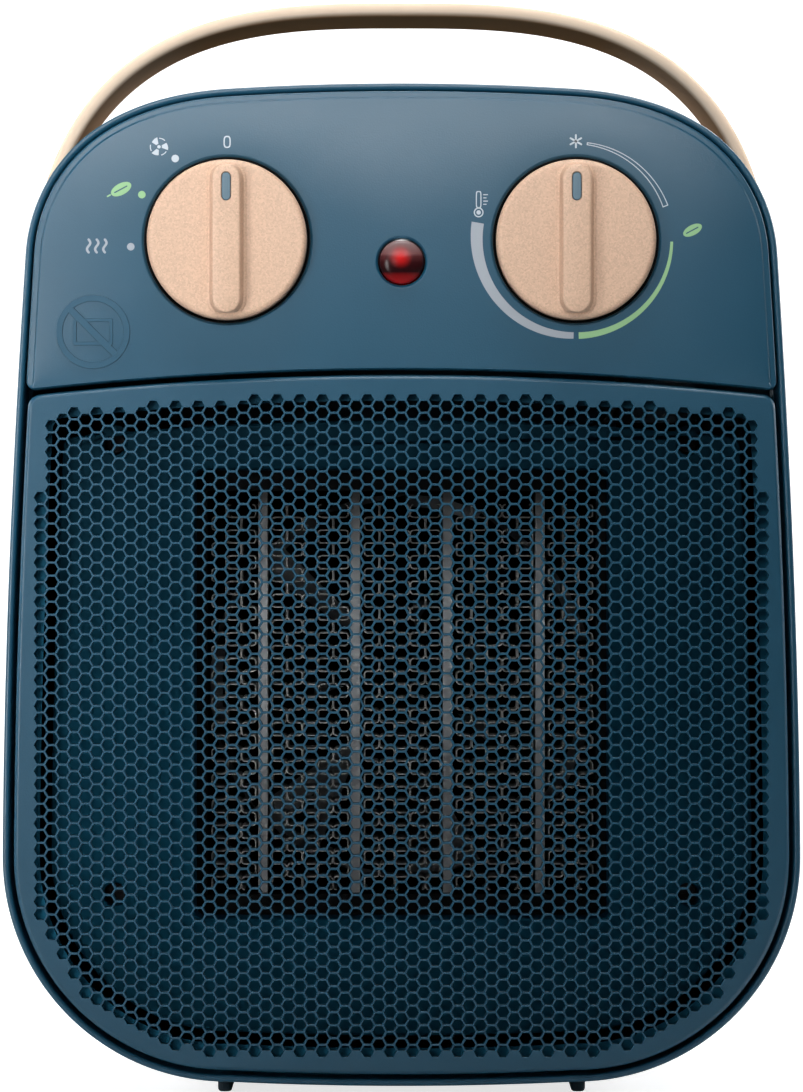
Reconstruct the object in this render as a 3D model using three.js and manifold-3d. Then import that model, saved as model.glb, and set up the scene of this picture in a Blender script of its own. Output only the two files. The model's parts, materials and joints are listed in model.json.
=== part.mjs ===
// A compact ceramic fan heater: one-piece rear casing with a curved outline, control panel with two
// rotary knobs and a pilot lamp, perforated front grille, air-outlet baffle, ceramic (PTC) heater block,
// duct, axial fan with a shaded-pole motor, tip-over switch, removable dust filter and a swinging handle.
//
// Units are millimetres. +X is to the right seen from the front, +Z is up and the front faces -Y.
// Every piece is laid out with its depth measured backwards from the front face, and the group at the
// end of the file moves the whole heater so that the middle of its depth is at Y = 0 and its feet at Z = 0.
import * as THREE from "three";
import { mergeVertices } from "three/addons/utils/BufferGeometryUtils.js";
import Module from "manifold-3d";

const wasm = await Module();
wasm.setup();

// ---------------------------------------------------------------- driving dimensions
const GAP = 0.35; // clearance left between separate solids

const BODY = { bottom: 2.6, top: 238.1, depth: 126, narrowing: 0.1 }; // narrowing: share lost at the back
const BASE_CORNER = { x: 41, z: 56.3, r: 52.7 };
const SHOULDER = { x: 49.8, z: 195.7, r: 38.6, from: 3.8, to: 60 }; // from, to: degrees from the horizontal
const SIDE_BULGE = { x: 93.4, z: 120 };
const CROWN = { x: 40, z: 236.9, bend: { x: 57.4, z: 235.9 } };
const SPLIT = { z: 169.9, r: 780 }; // the arc between control panel and grille

const WALL = { rim: 1.9, rimDepth: 11, shell: 2.4 };
const RIM_BACK = 1.5; // the casing's front edge lies this far behind the panels' faces
const REAR_EDGE = 14; // radius of the casing's rear edge
const PANEL = { inset: 2.35, face: 2.2, skirt: 9, wall: 1.8, splitGap: 0.65 };
const GRILLE = { inset: 2.95, face: 1.8, flange: 3.2, skirt: 10, wall: 2, margin: 8.9, pitch: 18.3, bar: 2.2 };
const BAFFLE = { inset: 11, front: 10.3, face: 12.3, back: 20 };
const WINDOW = { z: 94.35, halfWidth: 48.7, halfHeight: 52.85, wall: 1.8 };
const BAFFLE_SCREW = { x: 67.7, z: [153.5, 47], well: 2.75, cup: 4.2 };

const KNOB = { x: 40.8, z: 200.8, r: 18.7, well: 19.5, face: -4, rib: -7.5, back: 4.9 };
const KNOB_WELL = { floor: 5.4, under: 7 };
const RIB = { width: 6.8, length: 34.6 };
const POINTER = { width: 2.3, length: 6.8, z: 12.5 };
const LAMP = { z: 195.7, r: 5.15 };
const CONTROL_PLATE = { halfWidth: 57, z: [174.5, 228], front: 9.6, back: 10.8, screw: 178.5, peg: 223 };

const HANDLE = { depth: 68, pivot: 155, halfWidth: 92, rise: 93.9, spring: 168, thick: 3.4, power: 2.95 };
const HANDLE_SIDE = { foot: 18, top: 15.5, shoulder: 215 };
const PIVOT = { shank: 4, head: 7, boss: 10 };

const PTC = { front: 20.4, back: 40, halfWidth: 50.5, halfHeight: 54.6, inX: 46.2, inZ: 48.05 };
const ELEMENT = { pitch: 22, width: 2.2, front: 21.4, back: 39 };
const FIN = { count: 8, thick: 0.8, plate: 0.5 };
const DUCT = { front: 20.8, back: 62, wall: 2, mouth: 48, ring: 82 };
const FAN = { z: 94.35, front: 64, back: 80, r: 46, hub: 13, blades: 7 };
const MOTOR = { front: 90, back: 106, rotor: 11.6, bore: 12.1, shaft: 1.6, shaftHole: 1.95 };

const FILTER = { half: 59.3, seat: 59.7, opening: 53, front: 123.9, back: 127.1, slots: 11, slotHeight: 4.6 };
const GLAND = { z: 22, sleeve: 5.5, bore: 3.6, flange: 8, inner: 112, outer: 133 };
const FOOT = { x: 41.8, depths: [24, 94], width: 3.4, length: 20, top: 3.3 };
const REAR_SCREWS = [[62, 186], [40, 24]];
const REAR_POST = { end: 116, r: 3.8, hole: 1.75 };

const MIDDLE = (GLAND.outer + KNOB.rib) / 2; // depth of the middle of the whole heater

// ---------------------------------------------------------------- colours
const finish = (color, roughness, metalness = 0) => new THREE.MeshStandardMaterial({ color, roughness, metalness });
const BLUE = finish(0x2f5068, 0.5);
const DEEP_BLUE = finish(0x1d3c52, 0.55);
const PEACH = finish(0xe2bd98, 0.45);
const SLATE = finish(0x5c7687, 0.6);
const RED = finish(0xa01010, 0.15);
const BLACK = finish(0x16181a, 0.6);
const CREAM = finish(0xd9d5c8, 0.6);
const ALUMINIUM = finish(0xb4b7ba, 0.35, 1);
const STEEL = finish(0x8f9498, 0.4, 1);
const COPPER = finish(0x9c5a2c, 0.4, 1);
const GLASS = finish(0xdedede, 0.1);
const RUBBER = finish(0x15202a, 0.9);
const CLOTH = finish(0x2a2d30, 0.95);

// ---------------------------------------------------------------- from geometry to solid and back
// A closed geometry as a solid: doubled vertices merged, collapsed triangles dropped, faces turned outwards.
function solid(geometry) {
  const bare = geometry.clone();
  for (const name of Object.keys(bare.attributes)) if (name !== "position") bare.deleteAttribute(name);
  const merged = mergeVertices(bare, 1e-4);
  const corners = merged.index.array;
  const kept = [];
  for (let i = 0; i < corners.length; i += 3) {
    const [a, b, c] = corners.slice(i, i + 3);
    if (a !== b && b !== c && c !== a) kept.push(a, b, c);
  }
  const build = (tris) =>
    new wasm.Manifold(
      new wasm.Mesh({
        numProp: 3,
        vertProperties: new Float32Array(merged.attributes.position.array),
        triVerts: new Uint32Array(tris),
      }),
    );
  const made = build(kept);
  if (made.volume() > 0) return made;
  for (let i = 0; i < kept.length; i += 3) [kept[i + 1], kept[i + 2]] = [kept[i + 2], kept[i + 1]];
  return build(kept);
}

function geometryOf(body) {
  const mesh = body.getMesh();
  const positions = new Float32Array(mesh.numVert * 3);
  for (let i = 0; i < mesh.numVert; i++) {
    positions.set(mesh.vertProperties.subarray(i * mesh.numProp, i * mesh.numProp + 3), i * 3);
  }
  const geometry = new THREE.BufferGeometry();
  geometry.setAttribute("position", new THREE.BufferAttribute(positions, 3));
  geometry.setIndex(new THREE.BufferAttribute(new Uint32Array(mesh.triVerts), 1));
  geometry.computeVertexNormals();
  return geometry;
}

const join = (...bodies) => bodies.reduce((a, b) => a.add(b));
const cut = (body, ...tools) => tools.reduce((a, b) => a.subtract(b), body);

// ---------------------------------------------------------------- basic shapes, placed by x, depth and z
const FRONT_VIEW = new THREE.Matrix4().makeBasis(
  new THREE.Vector3(1, 0, 0),
  new THREE.Vector3(0, 0, 1),
  new THREE.Vector3(0, 1, 0),
);
const SIDE_VIEW = new THREE.Matrix4().makeBasis(
  new THREE.Vector3(0, 1, 0),
  new THREE.Vector3(0, 0, 1),
  new THREE.Vector3(1, 0, 0),
);
const PLAN_VIEW = new THREE.Matrix4();

// A flat shape drawn in one view and given thickness along that view's sight line, with rounded ends if bevel > 0.
function slabGeometry(shape, from, to, { bevel = 0, rounds = 3, arcs = 4, view = FRONT_VIEW } = {}) {
  const geometry = new THREE.ExtrudeGeometry(shape, {
    depth: to - from - 2 * bevel,
    bevelEnabled: bevel > 0,
    bevelThickness: bevel,
    bevelSize: bevel,
    bevelOffset: -bevel,
    bevelSegments: rounds,
    curveSegments: arcs,
  });
  geometry.translate(0, 0, from + bevel);
  return geometry.applyMatrix4(view);
}
const slab = (...args) => solid(slabGeometry(...args));

const block = (x0, x1, d0, d1, z0, z1) =>
  solid(new THREE.BoxGeometry(x1 - x0, d1 - d0, z1 - z0).translate((x0 + x1) / 2, (d0 + d1) / 2, (z0 + z1) / 2));

// A round bar along the depth, at x and z.
const rod = (r, d0, d1, x = 0, z = 0, sides = 12) =>
  solid(new THREE.CylinderGeometry(r, r, d1 - d0, sides).translate(x, (d0 + d1) / 2, z));

// A round bar along X, at a depth and height.
const crossRod = (r, x0, x1, depth, z, sides = 16) =>
  solid(
    new THREE.CylinderGeometry(r, r, Math.abs(x1 - x0), sides).rotateZ(Math.PI / 2).translate((x0 + x1) / 2, depth, z),
  );

// A round bar standing up, at x and a depth.
const post = (r, z0, z1, x, depth, sides = 12) =>
  solid(new THREE.CylinderGeometry(r, r, z1 - z0, sides).rotateX(Math.PI / 2).translate(x, depth, (z0 + z1) / 2));

// A profile of [radius, depth] points turned about the depth axis, at x and z.
function turned(profile, x, z, sides = 28) {
  const points = profile.map(([r, d]) => new THREE.Vector2(r, d));
  return solid(new THREE.LatheGeometry(points, sides).translate(x, 0, z));
}

function roundedBar(width, length, x, z) {
  const r = width / 2;
  const straight = length / 2 - r;
  const shape = new THREE.Shape();
  shape.absarc(x, z + straight, r, 0, Math.PI);
  shape.absarc(x, z - straight, r, Math.PI, 2 * Math.PI);
  return shape;
}

function rectangle(x0, x1, z0, z1, r = 0) {
  const shape = new THREE.Shape();
  if (r === 0) {
    shape.moveTo(x0, z0).lineTo(x1, z0).lineTo(x1, z1).lineTo(x0, z1);
    return shape;
  }
  shape.absarc(x1 - r, z0 + r, r, -Math.PI / 2, 0);
  shape.absarc(x1 - r, z1 - r, r, 0, Math.PI / 2);
  shape.absarc(x0 + r, z1 - r, r, Math.PI / 2, Math.PI);
  shape.absarc(x0 + r, z0 + r, r, Math.PI, 1.5 * Math.PI);
  return shape;
}

// ---------------------------------------------------------------- the body's outline
// Right half, from the middle of the base up to the middle of the top: base arch, round base corner,
// bulging side, round shoulder and crowned top, each a curve and its number of straight steps.
function halfOutline() {
  const at = (x, z) => new THREE.Vector2(x, z);
  const degree = Math.PI / 180;
  const { x, z, r, from, to } = SHOULDER;
  const onShoulder = (angle) => at(x + r * Math.cos(angle * degree), z + r * Math.sin(angle * degree));
  const corner = BASE_CORNER;
  const cornerStart = at(corner.x, corner.z - corner.r);
  const cornerEnd = at(corner.x + corner.r, corner.z);
  const crown = at(CROWN.x, CROWN.z);
  const curves = [
    [new THREE.QuadraticBezierCurve(at(0, BODY.bottom), at(corner.x / 2, BODY.bottom), cornerStart), 2],
    [new THREE.EllipseCurve(corner.x, corner.z, corner.r, corner.r, -Math.PI / 2, 0), 7],
    [new THREE.QuadraticBezierCurve(cornerEnd, at(SIDE_BULGE.x, SIDE_BULGE.z), onShoulder(from)), 3],
    [new THREE.EllipseCurve(x, z, r, r, from * degree, to * degree), 5],
    [new THREE.QuadraticBezierCurve(onShoulder(to), at(CROWN.bend.x, CROWN.bend.z), crown), 2],
    [new THREE.QuadraticBezierCurve(crown, at(CROWN.x / 2, BODY.top), at(0, BODY.top)), 2],
  ];
  return curves.flatMap(([curve, steps], i) => curve.getPoints(steps).slice(i === 0 ? 0 : 1));
}

// The whole outline, moved inwards by inset along its own normals.
function outline(inset = 0) {
  const right = halfOutline();
  const left = right
    .slice(1, -1)
    .reverse()
    .map((p) => new THREE.Vector2(-p.x, p.y));
  const loop = [...right, ...left];
  const moved = loop.map((p, i) => {
    const before = loop[(i + loop.length - 1) % loop.length];
    const after = loop[(i + 1) % loop.length];
    const along = after.clone().sub(before).normalize();
    return new THREE.Vector2(p.x - along.y * inset, p.y + along.x * inset);
  });
  return new THREE.Shape(moved);
}

const splitHeight = (x) => SPLIT.z - (x * x) / (2 * SPLIT.r);

// Everything above (side 1) or below (side -1) the split arc, kept clear of it by a margin.
function besideSplit(side, margin) {
  const reach = 110;
  const steps = 12;
  const shape = new THREE.Shape();
  for (let i = 0; i <= steps; i++) {
    const x = reach * ((2 * i) / steps - 1);
    const z = splitHeight(x) + side * margin;
    if (i === 0) shape.moveTo(x, z);
    else shape.lineTo(x, z);
  }
  const far = side > 0 ? 300 : -50;
  shape.lineTo(reach, far);
  shape.lineTo(-reach, far);
  return shape;
}

// The body narrows evenly towards the back, about its middle and its base.
const narrowAt = (depth) => 1 - (BODY.narrowing * depth) / BODY.depth;
function narrowed(geometry) {
  const at = geometry.attributes.position;
  for (let i = 0; i < at.count; i++) {
    const s = narrowAt(at.getY(i));
    at.setX(i, at.getX(i) * s);
    at.setZ(i, BODY.bottom + (at.getZ(i) - BODY.bottom) * s);
  }
  return geometry;
}

const narrowedSlab = (...args) => solid(narrowed(slabGeometry(...args)));

const pieces = new Map(); // name: [solid, material]
const add = (name, body, material) => pieces.set(name, [body, material]);
const mirrorPair = [
  ["left", -1],
  ["right", 1],
];

// ---------------------------------------------------------------- casing, panels and baffle
const ROUNDED = { bevel: 1, rounds: 2 };

function rearCasing() {
  const ahead = 20; // the blanks start in front of the casing and are cut off at its front edge
  const inside = BODY.depth - WALL.shell;
  const outer = narrowedSlab(outline(0), -ahead, BODY.depth, { bevel: REAR_EDGE, rounds: 3 });
  const hollow = narrowedSlab(outline(WALL.shell), -ahead, inside, { bevel: REAR_EDGE - WALL.shell, rounds: 3 });
  const mouth = narrowedSlab(outline(WALL.rim), -ahead, WALL.rimDepth);
  let body = cut(outer, hollow, mouth, block(-120, 120, -ahead - 1, RIM_BACK, -20, 280));
  const flange = 3.2;
  body = join(body, block(-64, 64, inside - flange, inside + 0.4, WINDOW.z - 64, WINDOW.z + 64));
  const { seat, opening } = FILTER;
  body = cut(
    body,
    block(-opening, opening, inside - 6, BODY.depth + 1, WINDOW.z - opening, WINDOW.z + opening),
    block(-seat, seat, inside, BODY.depth + 1, WINDOW.z - seat, WINDOW.z + seat),
  );
  for (const x of [-BAFFLE_SCREW.x, BAFFLE_SCREW.x]) {
    for (const z of BAFFLE_SCREW.z) {
      body = cut(join(body, rod(BAFFLE_SCREW.cup, 23.2, inside + 0.4, x, z)), rod(1.7, 20, 37, x, z, 8));
    }
  }
  for (const [x, z] of REAR_SCREWS) {
    for (const side of [-x, x]) {
      body = join(body, rod(4.5, REAR_POST.end + 0.4, inside + 0.4, side, z));
      body = cut(body, rod(1.9, REAR_POST.end - 1, BODY.depth, side, z, 8), rod(3.5, 123.3, 127, side, z));
    }
  }
  for (const [, side] of mirrorPair) {
    body = join(body, crossRod(PIVOT.boss, side * 83, side * 88.15, HANDLE.depth, HANDLE.pivot));
    body = cut(body, crossRod(PIVOT.shank + 0.4, side * 78, side * 95, HANDLE.depth, HANDLE.pivot));
    for (const depth of FOOT.depths) body = cut(body, post(2, 1, 8, side * FOOT.x, depth));
  }
  return cut(body, rod(GLAND.sleeve + 0.4, inside - 4, BODY.depth + 1, 0, GLAND.z, 18));
}

function controlPanel() {
  const { inset, face, skirt, wall, splitGap } = PANEL;
  const shell = cut(
    narrowedSlab(outline(inset), 0, skirt + 1, ROUNDED).intersect(slab(besideSplit(1, splitGap), -1, skirt)),
    narrowedSlab(outline(inset + wall), face, skirt + 1).intersect(slab(besideSplit(1, splitGap + wall), 0, skirt + 1)),
  );
  let body = shell;
  for (const x of [-KNOB.x, KNOB.x]) {
    body = join(body, rod(KNOB.well + 1.6, face - 1, KNOB_WELL.under, x, KNOB.z, 30));
    body = cut(body, rod(KNOB.well, -1, KNOB_WELL.floor, x, KNOB.z, 30), rod(3.8, 0, 9, x, KNOB.z, 14));
  }
  const plate = CONTROL_PLATE;
  body = cut(join(body, rod(3, 1, plate.front - GAP, 0, plate.screw)), rod(1.6, 2.6, 12, 0, plate.screw, 8));
  body = join(body, rod(3, 1, plate.front - GAP, 0, plate.peg), rod(1.3, 9, plate.back + 1.5, 0, plate.peg, 8));
  const [x, z] = REAR_SCREWS[0];
  for (const side of [-x, x]) {
    body = join(body, rod(REAR_POST.r, 1.5, REAR_POST.end, side, z));
    body = cut(body, rod(REAR_POST.hole, 100, REAR_POST.end + 1, side, z, 8));
  }
  return cut(body, rod(LAMP.r + GAP, -1, 4, 0, LAMP.z, 18));
}

// Hexagonal holes six times as far apart as a fine 3 mm perforation, which the outline and margins also suit.
function frontGrille() {
  const { inset, face, flange, skirt, wall, margin, pitch, bar } = GRILLE;
  const below = (gap, from, to) => slab(besideSplit(-1, gap), from, to);
  const plate = narrowedSlab(outline(inset), 0, 4, ROUNDED).intersect(below(PANEL.splitGap, -1, face));
  const ring = (deep, from, to) =>
    cut(
      narrowedSlab(outline(inset), from, to).intersect(below(PANEL.splitGap, from - 1, to + 1)),
      narrowedSlab(outline(deep), from - 1, to + 1).intersect(below(PANEL.splitGap + deep - inset, from - 2, to + 2)),
    );
  let body = join(plate, ring(margin, face - 0.3, flange), ring(inset + wall, flange - 0.3, skirt));
  const holeRadius = (pitch - bar) / Math.sqrt(3);
  const column = (pitch * Math.sqrt(3)) / 2;
  const clear = margin + holeRadius * 1.05;
  const border = outline(clear).getPoints();
  const inside = (x, z) => {
    if (z > splitHeight(x) - PANEL.splitGap - clear + inset) return false;
    let crossings = 0;
    border.forEach((p, i) => {
      const q = border[(i + 1) % border.length];
      if (p.y > z !== q.y > z && x < p.x + ((q.x - p.x) * (z - p.y)) / (q.y - p.y)) crossings++;
    });
    return crossings % 2 === 1;
  };
  for (let i = -5; i <= 5; i++) {
    for (let j = 0; j < 10; j++) {
      const [x, z] = [i * column, BODY.bottom + 2.6 + (j + (i % 2 ? 0.5 : 0)) * pitch];
      if (!inside(x, z)) continue;
      const hexagon = new THREE.CylinderGeometry(holeRadius, holeRadius, 4, 6).rotateY(Math.PI / 2);
      body = cut(body, solid(hexagon.translate(x, 1, z)));
    }
  }
  const [postX, postZ] = REAR_SCREWS[1];
  for (const side of [-postX, postX]) {
    // the lower posts stand on the skirt's flange, below the air window
    body = join(body, rod(REAR_POST.r, face - 0.3, REAR_POST.end, side, postZ));
    body = cut(body, rod(REAR_POST.hole, 100, REAR_POST.end + 1, side, postZ, 8));
  }
  return body;
}

function outletBaffle() {
  const { inset, front, face, back } = BAFFLE;
  const { z, halfWidth, halfHeight, wall } = WINDOW;
  let body = slab(outline(inset), front, face).intersect(slab(besideSplit(-1, inset), front - 1, face + 1));
  const frame = (grow, from, to) =>
    block(-halfWidth - grow, halfWidth + grow, from, to, z - halfHeight - grow, z + halfHeight + grow);
  body = cut(join(body, frame(wall, face - 0.5, back)), frame(0, front - 1, back + 1));
  for (const x of [-BAFFLE_SCREW.x, BAFFLE_SCREW.x]) {
    for (const screwZ of BAFFLE_SCREW.z) {
      body = join(body, rod(BAFFLE_SCREW.cup, face - 0.5, DUCT.front - GAP, x, screwZ, 14));
      body = cut(body, rod(BAFFLE_SCREW.well, front - 1, 18.5, x, screwZ), rod(1.7, 18, 22, x, screwZ, 8));
    }
  }
  const [postX, postZ] = REAR_SCREWS[1];
  for (const side of [-postX, postX]) body = cut(body, rod(REAR_POST.r + 0.8, 9, 21, side, postZ));
  return body;
}

// A pan-head screw driven backwards from its head, or forwards where length is negative.
function screw(headRadius, shankRadius, seat, headHeight, length, x, z) {
  const way = Math.sign(length);
  const head = [seat - way * headHeight, seat].sort((a, b) => a - b);
  const shank = [seat - way * 0.3, seat + length].sort((a, b) => a - b);
  const slot = rod(headRadius * 0.45, ...[seat - way * headHeight * 1.2, seat - way * headHeight * 0.5].sort((a, b) => a - b), x, z, 6);
  return cut(join(rod(headRadius, ...head, x, z), rod(shankRadius, ...shank, x, z, 8)), slot);
}

// ---------------------------------------------------------------- knobs, lamp and controls
function knob(x) {
  const { r, face, back, rib } = KNOB;
  const disc = turned(
    [[0, back], [r - 1, back], [r, back - 0.8], [r, face + 1.1], [r - 0.4, face + 0.35], [r - 1.3, face], [0, face]],
    x,
    KNOB.z,
  );
  const grip = slab(roundedBar(RIB.width, RIB.length, x, KNOB.z), rib, face + 2, { bevel: 0.8, rounds: 2 });
  const socket = rod(3.35, -1.4, back + 1, x, KNOB.z, 14);
  const pocket = slab(
    roundedBar(POINTER.width + 2 * GAP, POINTER.length + 2 * GAP, x, KNOB.z + POINTER.z),
    rib + 1.3,
    rib - 1,
  );
  return cut(join(disc, grip), socket, pocket);
}
const knobPointer = (x) =>
  slab(roundedBar(POINTER.width, POINTER.length, x, KNOB.z + POINTER.z), KNOB.rib, KNOB.rib + 1);
const knobShaft = (x) => cut(rod(3, -1, 14, x, KNOB.z, 14), block(x - 4, x + 4, -2, 5, KNOB.z + 1.6, KNOB.z + 4));

function controlPlate() {
  const { halfWidth, z, front, back, screw: screwZ, peg } = CONTROL_PLATE;
  let body = slab(rectangle(-halfWidth, halfWidth, z[0], z[1], 4), front, back);
  for (const x of [-KNOB.x, KNOB.x]) body = cut(body, rod(5, front - 1, back + 1, x, KNOB.z, 14));
  for (const holeZ of [screwZ, peg]) body = cut(body, rod(1.7, front - 1, back + 1, 0, holeZ, 8));
  return cut(body, rod(4.2, front - 1, back + 1, 0, LAMP.z, 14));
}

// Both controls have a threaded neck that stands through the plate and a bore for the shaft.
function controlBody(x, body) {
  const neck = rod(4.6, KNOB_WELL.under + GAP, 12, x, KNOB.z, 14);
  return cut(join(body, neck), rod(3.4, 0, 14.4, x, KNOB.z, 14));
}

function rotarySwitch(x) {
  let body = slab(rectangle(x - 13.5, x + 13.5, KNOB.z - 13.5, KNOB.z + 13.5, 2), 11.2, 31);
  for (const [dx, dz] of [[-8, -8], [0, -8], [8, -8], [-8, 8], [8, 8]]) {
    body = join(body, block(x + dx - 2.4, x + dx + 2.4, 30, 38, KNOB.z + dz - 0.4, KNOB.z + dz + 0.4));
  }
  return controlBody(x, body);
}

function thermostat(x) {
  let body = join(rod(14, 11.2, 17, x, KNOB.z, 20), slab(rectangle(x - 10, x + 10, KNOB.z - 16, KNOB.z + 16, 2), 16, 27));
  for (const dz of [-19, 19]) body = join(body, block(x - 3, x + 3, 22, 23, KNOB.z + dz - 4, KNOB.z + dz + 4));
  return controlBody(x, body);
}

// ---------------------------------------------------------------- handle
// Outer (thin 0) or inner edge of the arch: straight legs below the spring line, then a superellipse.
function archEdge(thin, foot) {
  const a = HANDLE.halfWidth - thin;
  const b = HANDLE.rise - thin;
  const steps = 13;
  const points = [new THREE.Vector2(a, foot)];
  for (let i = 0; i <= 2 * steps; i++) {
    const angle = (Math.PI * i) / (2 * steps);
    const [c, s] = [Math.cos(angle), Math.sin(angle)];
    const bend = 2 / HANDLE.power;
    points.push(new THREE.Vector2(Math.sign(c) * a * Math.abs(c) ** bend, HANDLE.spring + b * Math.abs(s) ** bend));
  }
  points.push(new THREE.Vector2(-a, foot));
  return points;
}

function handle() {
  const { depth, pivot, thick } = HANDLE;
  const foot = pivot - HANDLE_SIDE.foot - 5;
  const arch = new THREE.Shape([...archEdge(0, foot), ...archEdge(thick, foot).reverse()]);
  const side = new THREE.Shape();
  side.absarc(depth, pivot, HANDLE_SIDE.foot, Math.PI, 2 * Math.PI);
  side.lineTo(depth + HANDLE_SIDE.top, HANDLE_SIDE.shoulder);
  side.lineTo(depth + HANDLE_SIDE.top, 300);
  side.lineTo(depth - HANDLE_SIDE.top, 300);
  side.lineTo(depth - HANDLE_SIDE.top, HANDLE_SIDE.shoulder);
  let body = slab(arch, depth - 25, depth + 25).intersect(slab(side, -100, 100, { view: SIDE_VIEW }));
  body = cut(body, crossRod(PIVOT.shank + 0.4, -100, 100, depth, pivot));
  return body;
}
const pivotPin = (side) =>
  join(
    crossRod(PIVOT.shank, side * 79, side * 93, HANDLE.depth, HANDLE.pivot),
    crossRod(PIVOT.head, side * 92.4, side * 93.6, HANDLE.depth, HANDLE.pivot),
  );

// ---------------------------------------------------------------- heater block and duct
const around = (halfX, halfZ, from, to) => block(-halfX, halfX, from, to, FAN.z - halfZ, FAN.z + halfZ);

const ptcFrame = () =>
  cut(around(PTC.halfWidth, PTC.halfHeight, PTC.front, PTC.back), around(PTC.inX, PTC.inZ, PTC.front - 1, PTC.back + 1));

const ptcElement = (x) =>
  block(x - ELEMENT.width / 2, x + ELEMENT.width / 2, ELEMENT.front, ELEMENT.back, FAN.z - PTC.inZ + GAP, FAN.z + PTC.inZ - GAP);

// Level fins on one upright foil, between x0 and x1.
function finPack(x0, x1, foilX) {
  const half = PTC.inZ - 2 * GAP;
  const [front, back] = [ELEMENT.front + 0.8, ELEMENT.back - 0.8];
  let body = block(foilX - FIN.plate / 2, foilX + FIN.plate / 2, front, back, FAN.z - half, FAN.z + half);
  for (let i = 0; i < FIN.count; i++) {
    const z = FAN.z + half * ((2 * i + 1) / FIN.count - 1);
    body = join(body, block(x0, x1, front, back, z - FIN.thick / 2, z + FIN.thick / 2));
  }
  return body;
}

function heaterDuct() {
  const { front, back, wall, mouth, ring } = DUCT;
  const [halfX, halfZ] = [PTC.halfWidth + 0.4, PTC.halfHeight + 0.4];
  let body = cut(around(halfX + wall, halfZ + wall, front, back), around(halfX, halfZ, front - 1, back - wall));
  const ledge = cut(around(halfX + 0.5, halfZ + 0.5, PTC.back + 0.5, PTC.back + 2), around(47, 50, PTC.back, PTC.back + 3));
  body = join(body, ledge, rod(mouth + 2.4, back - 1, ring, 0, FAN.z, 30));
  body = cut(body, rod(mouth, back - wall - 1, ring + 1, 0, FAN.z, 30));
  for (const [, side] of mirrorPair) {
    for (const z of BAFFLE_SCREW.z) {
      const [near, far] = [side * (halfX + 0.2), side * 72].sort((a, b) => a - b);
      body = join(body, block(near, far, front, front + 2, z - 5, z + 5));
      body = cut(body, rod(1.7, front - 1, front + 3, side * BAFFLE_SCREW.x, z, 8));
    }
  }
  return body;
}

const thermalCutout = () =>
  join(post(7.5, 151.7, 156, 25, 32, 14), block(13, 37, 30, 34, 151.7, 152.9), block(22, 28, 29, 35, 155.5, 158.5));
const thermalFuse = () =>
  join(crossRod(2, -30, -16, 32, 154.6, 8), crossRod(0.5, -38, -8, 32, 154.6, 6), block(-27, -19, 30, 34, 151.7, 153));

// ---------------------------------------------------------------- fan and motor
// One blade: a flat box whose chord turns from along the axis at the hub towards across it at the tip.
function blade(turn) {
  const inner = FAN.hub - 1;
  const geometry = new THREE.BoxGeometry(FAN.r - inner, 25, 1.6, 2, 1, 1).translate((FAN.r + inner) / 2, 0, 0);
  const at = geometry.attributes.position;
  for (let i = 0; i < at.count; i++) {
    const reach = (at.getX(i) - inner) / (FAN.r - inner);
    const pitch = THREE.MathUtils.degToRad(40 + 22 * reach);
    const [y, z] = [at.getY(i) * (0.7 + 0.3 * reach), at.getZ(i)];
    at.setY(i, y * Math.cos(pitch) - z * Math.sin(pitch));
    at.setZ(i, y * Math.sin(pitch) + z * Math.cos(pitch));
  }
  return solid(geometry.rotateY(turn).translate(0, (FAN.front + FAN.back) / 2, FAN.z));
}

function fanImpeller() {
  let body = turned(
    [[0, FAN.back], [FAN.hub, FAN.back], [FAN.hub, FAN.front + 3], [FAN.hub - 3, FAN.front], [0, FAN.front]],
    0,
    FAN.z,
    28,
  );
  for (let i = 0; i < FAN.blades; i++) body = join(body, blade((2 * Math.PI * i) / FAN.blades));
  return cut(body, rod(MOTOR.shaftHole, FAN.front + 4, FAN.back + 1, 0, FAN.z));
}

function motorMount() {
  const front = DUCT.ring + GAP;
  let body = cut(rod(DUCT.mouth + 2.4, front, front + 2, 0, FAN.z, 30), rod(DUCT.mouth - 3, front - 1, front + 3, 0, FAN.z, 30));
  for (let i = 0; i < 4; i++) {
    const arm = solid(
      new THREE.BoxGeometry(38, 2, 7).translate(29, 0, 0).rotateY(Math.PI / 4 + (i * Math.PI) / 2).translate(0, front + 1, FAN.z),
    );
    body = join(body, arm);
  }
  return cut(join(body, rod(17, front, front + 2, 0, FAN.z, 20)), rod(5.6, front - 1, front + 3, 0, FAN.z, 14));
}

function motorStator() {
  const core = new THREE.Shape();
  core.absarc(0, FAN.z, 22, 0, Math.PI);
  core.lineTo(-22, FAN.z - 44);
  core.lineTo(22, FAN.z - 44);
  const bore = rod(MOTOR.bore, MOTOR.front - 1, MOTOR.back + 1, 0, FAN.z, 20);
  return cut(slab(core, MOTOR.front, MOTOR.back), bore, block(-13, 13, 80, 120, FAN.z - 36, FAN.z - 17));
}

function motorCoil() {
  const [bottom, top] = [FAN.z - 49, FAN.z - 18];
  const winding = block(-11, 11, MOTOR.front - 5, MOTOR.back + 5, bottom, top);
  const core = block(-20, 20, MOTOR.front - GAP, MOTOR.back + GAP, FAN.z - 44 - GAP, FAN.z - 36 + GAP);
  return cut(winding, core);
}

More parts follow.
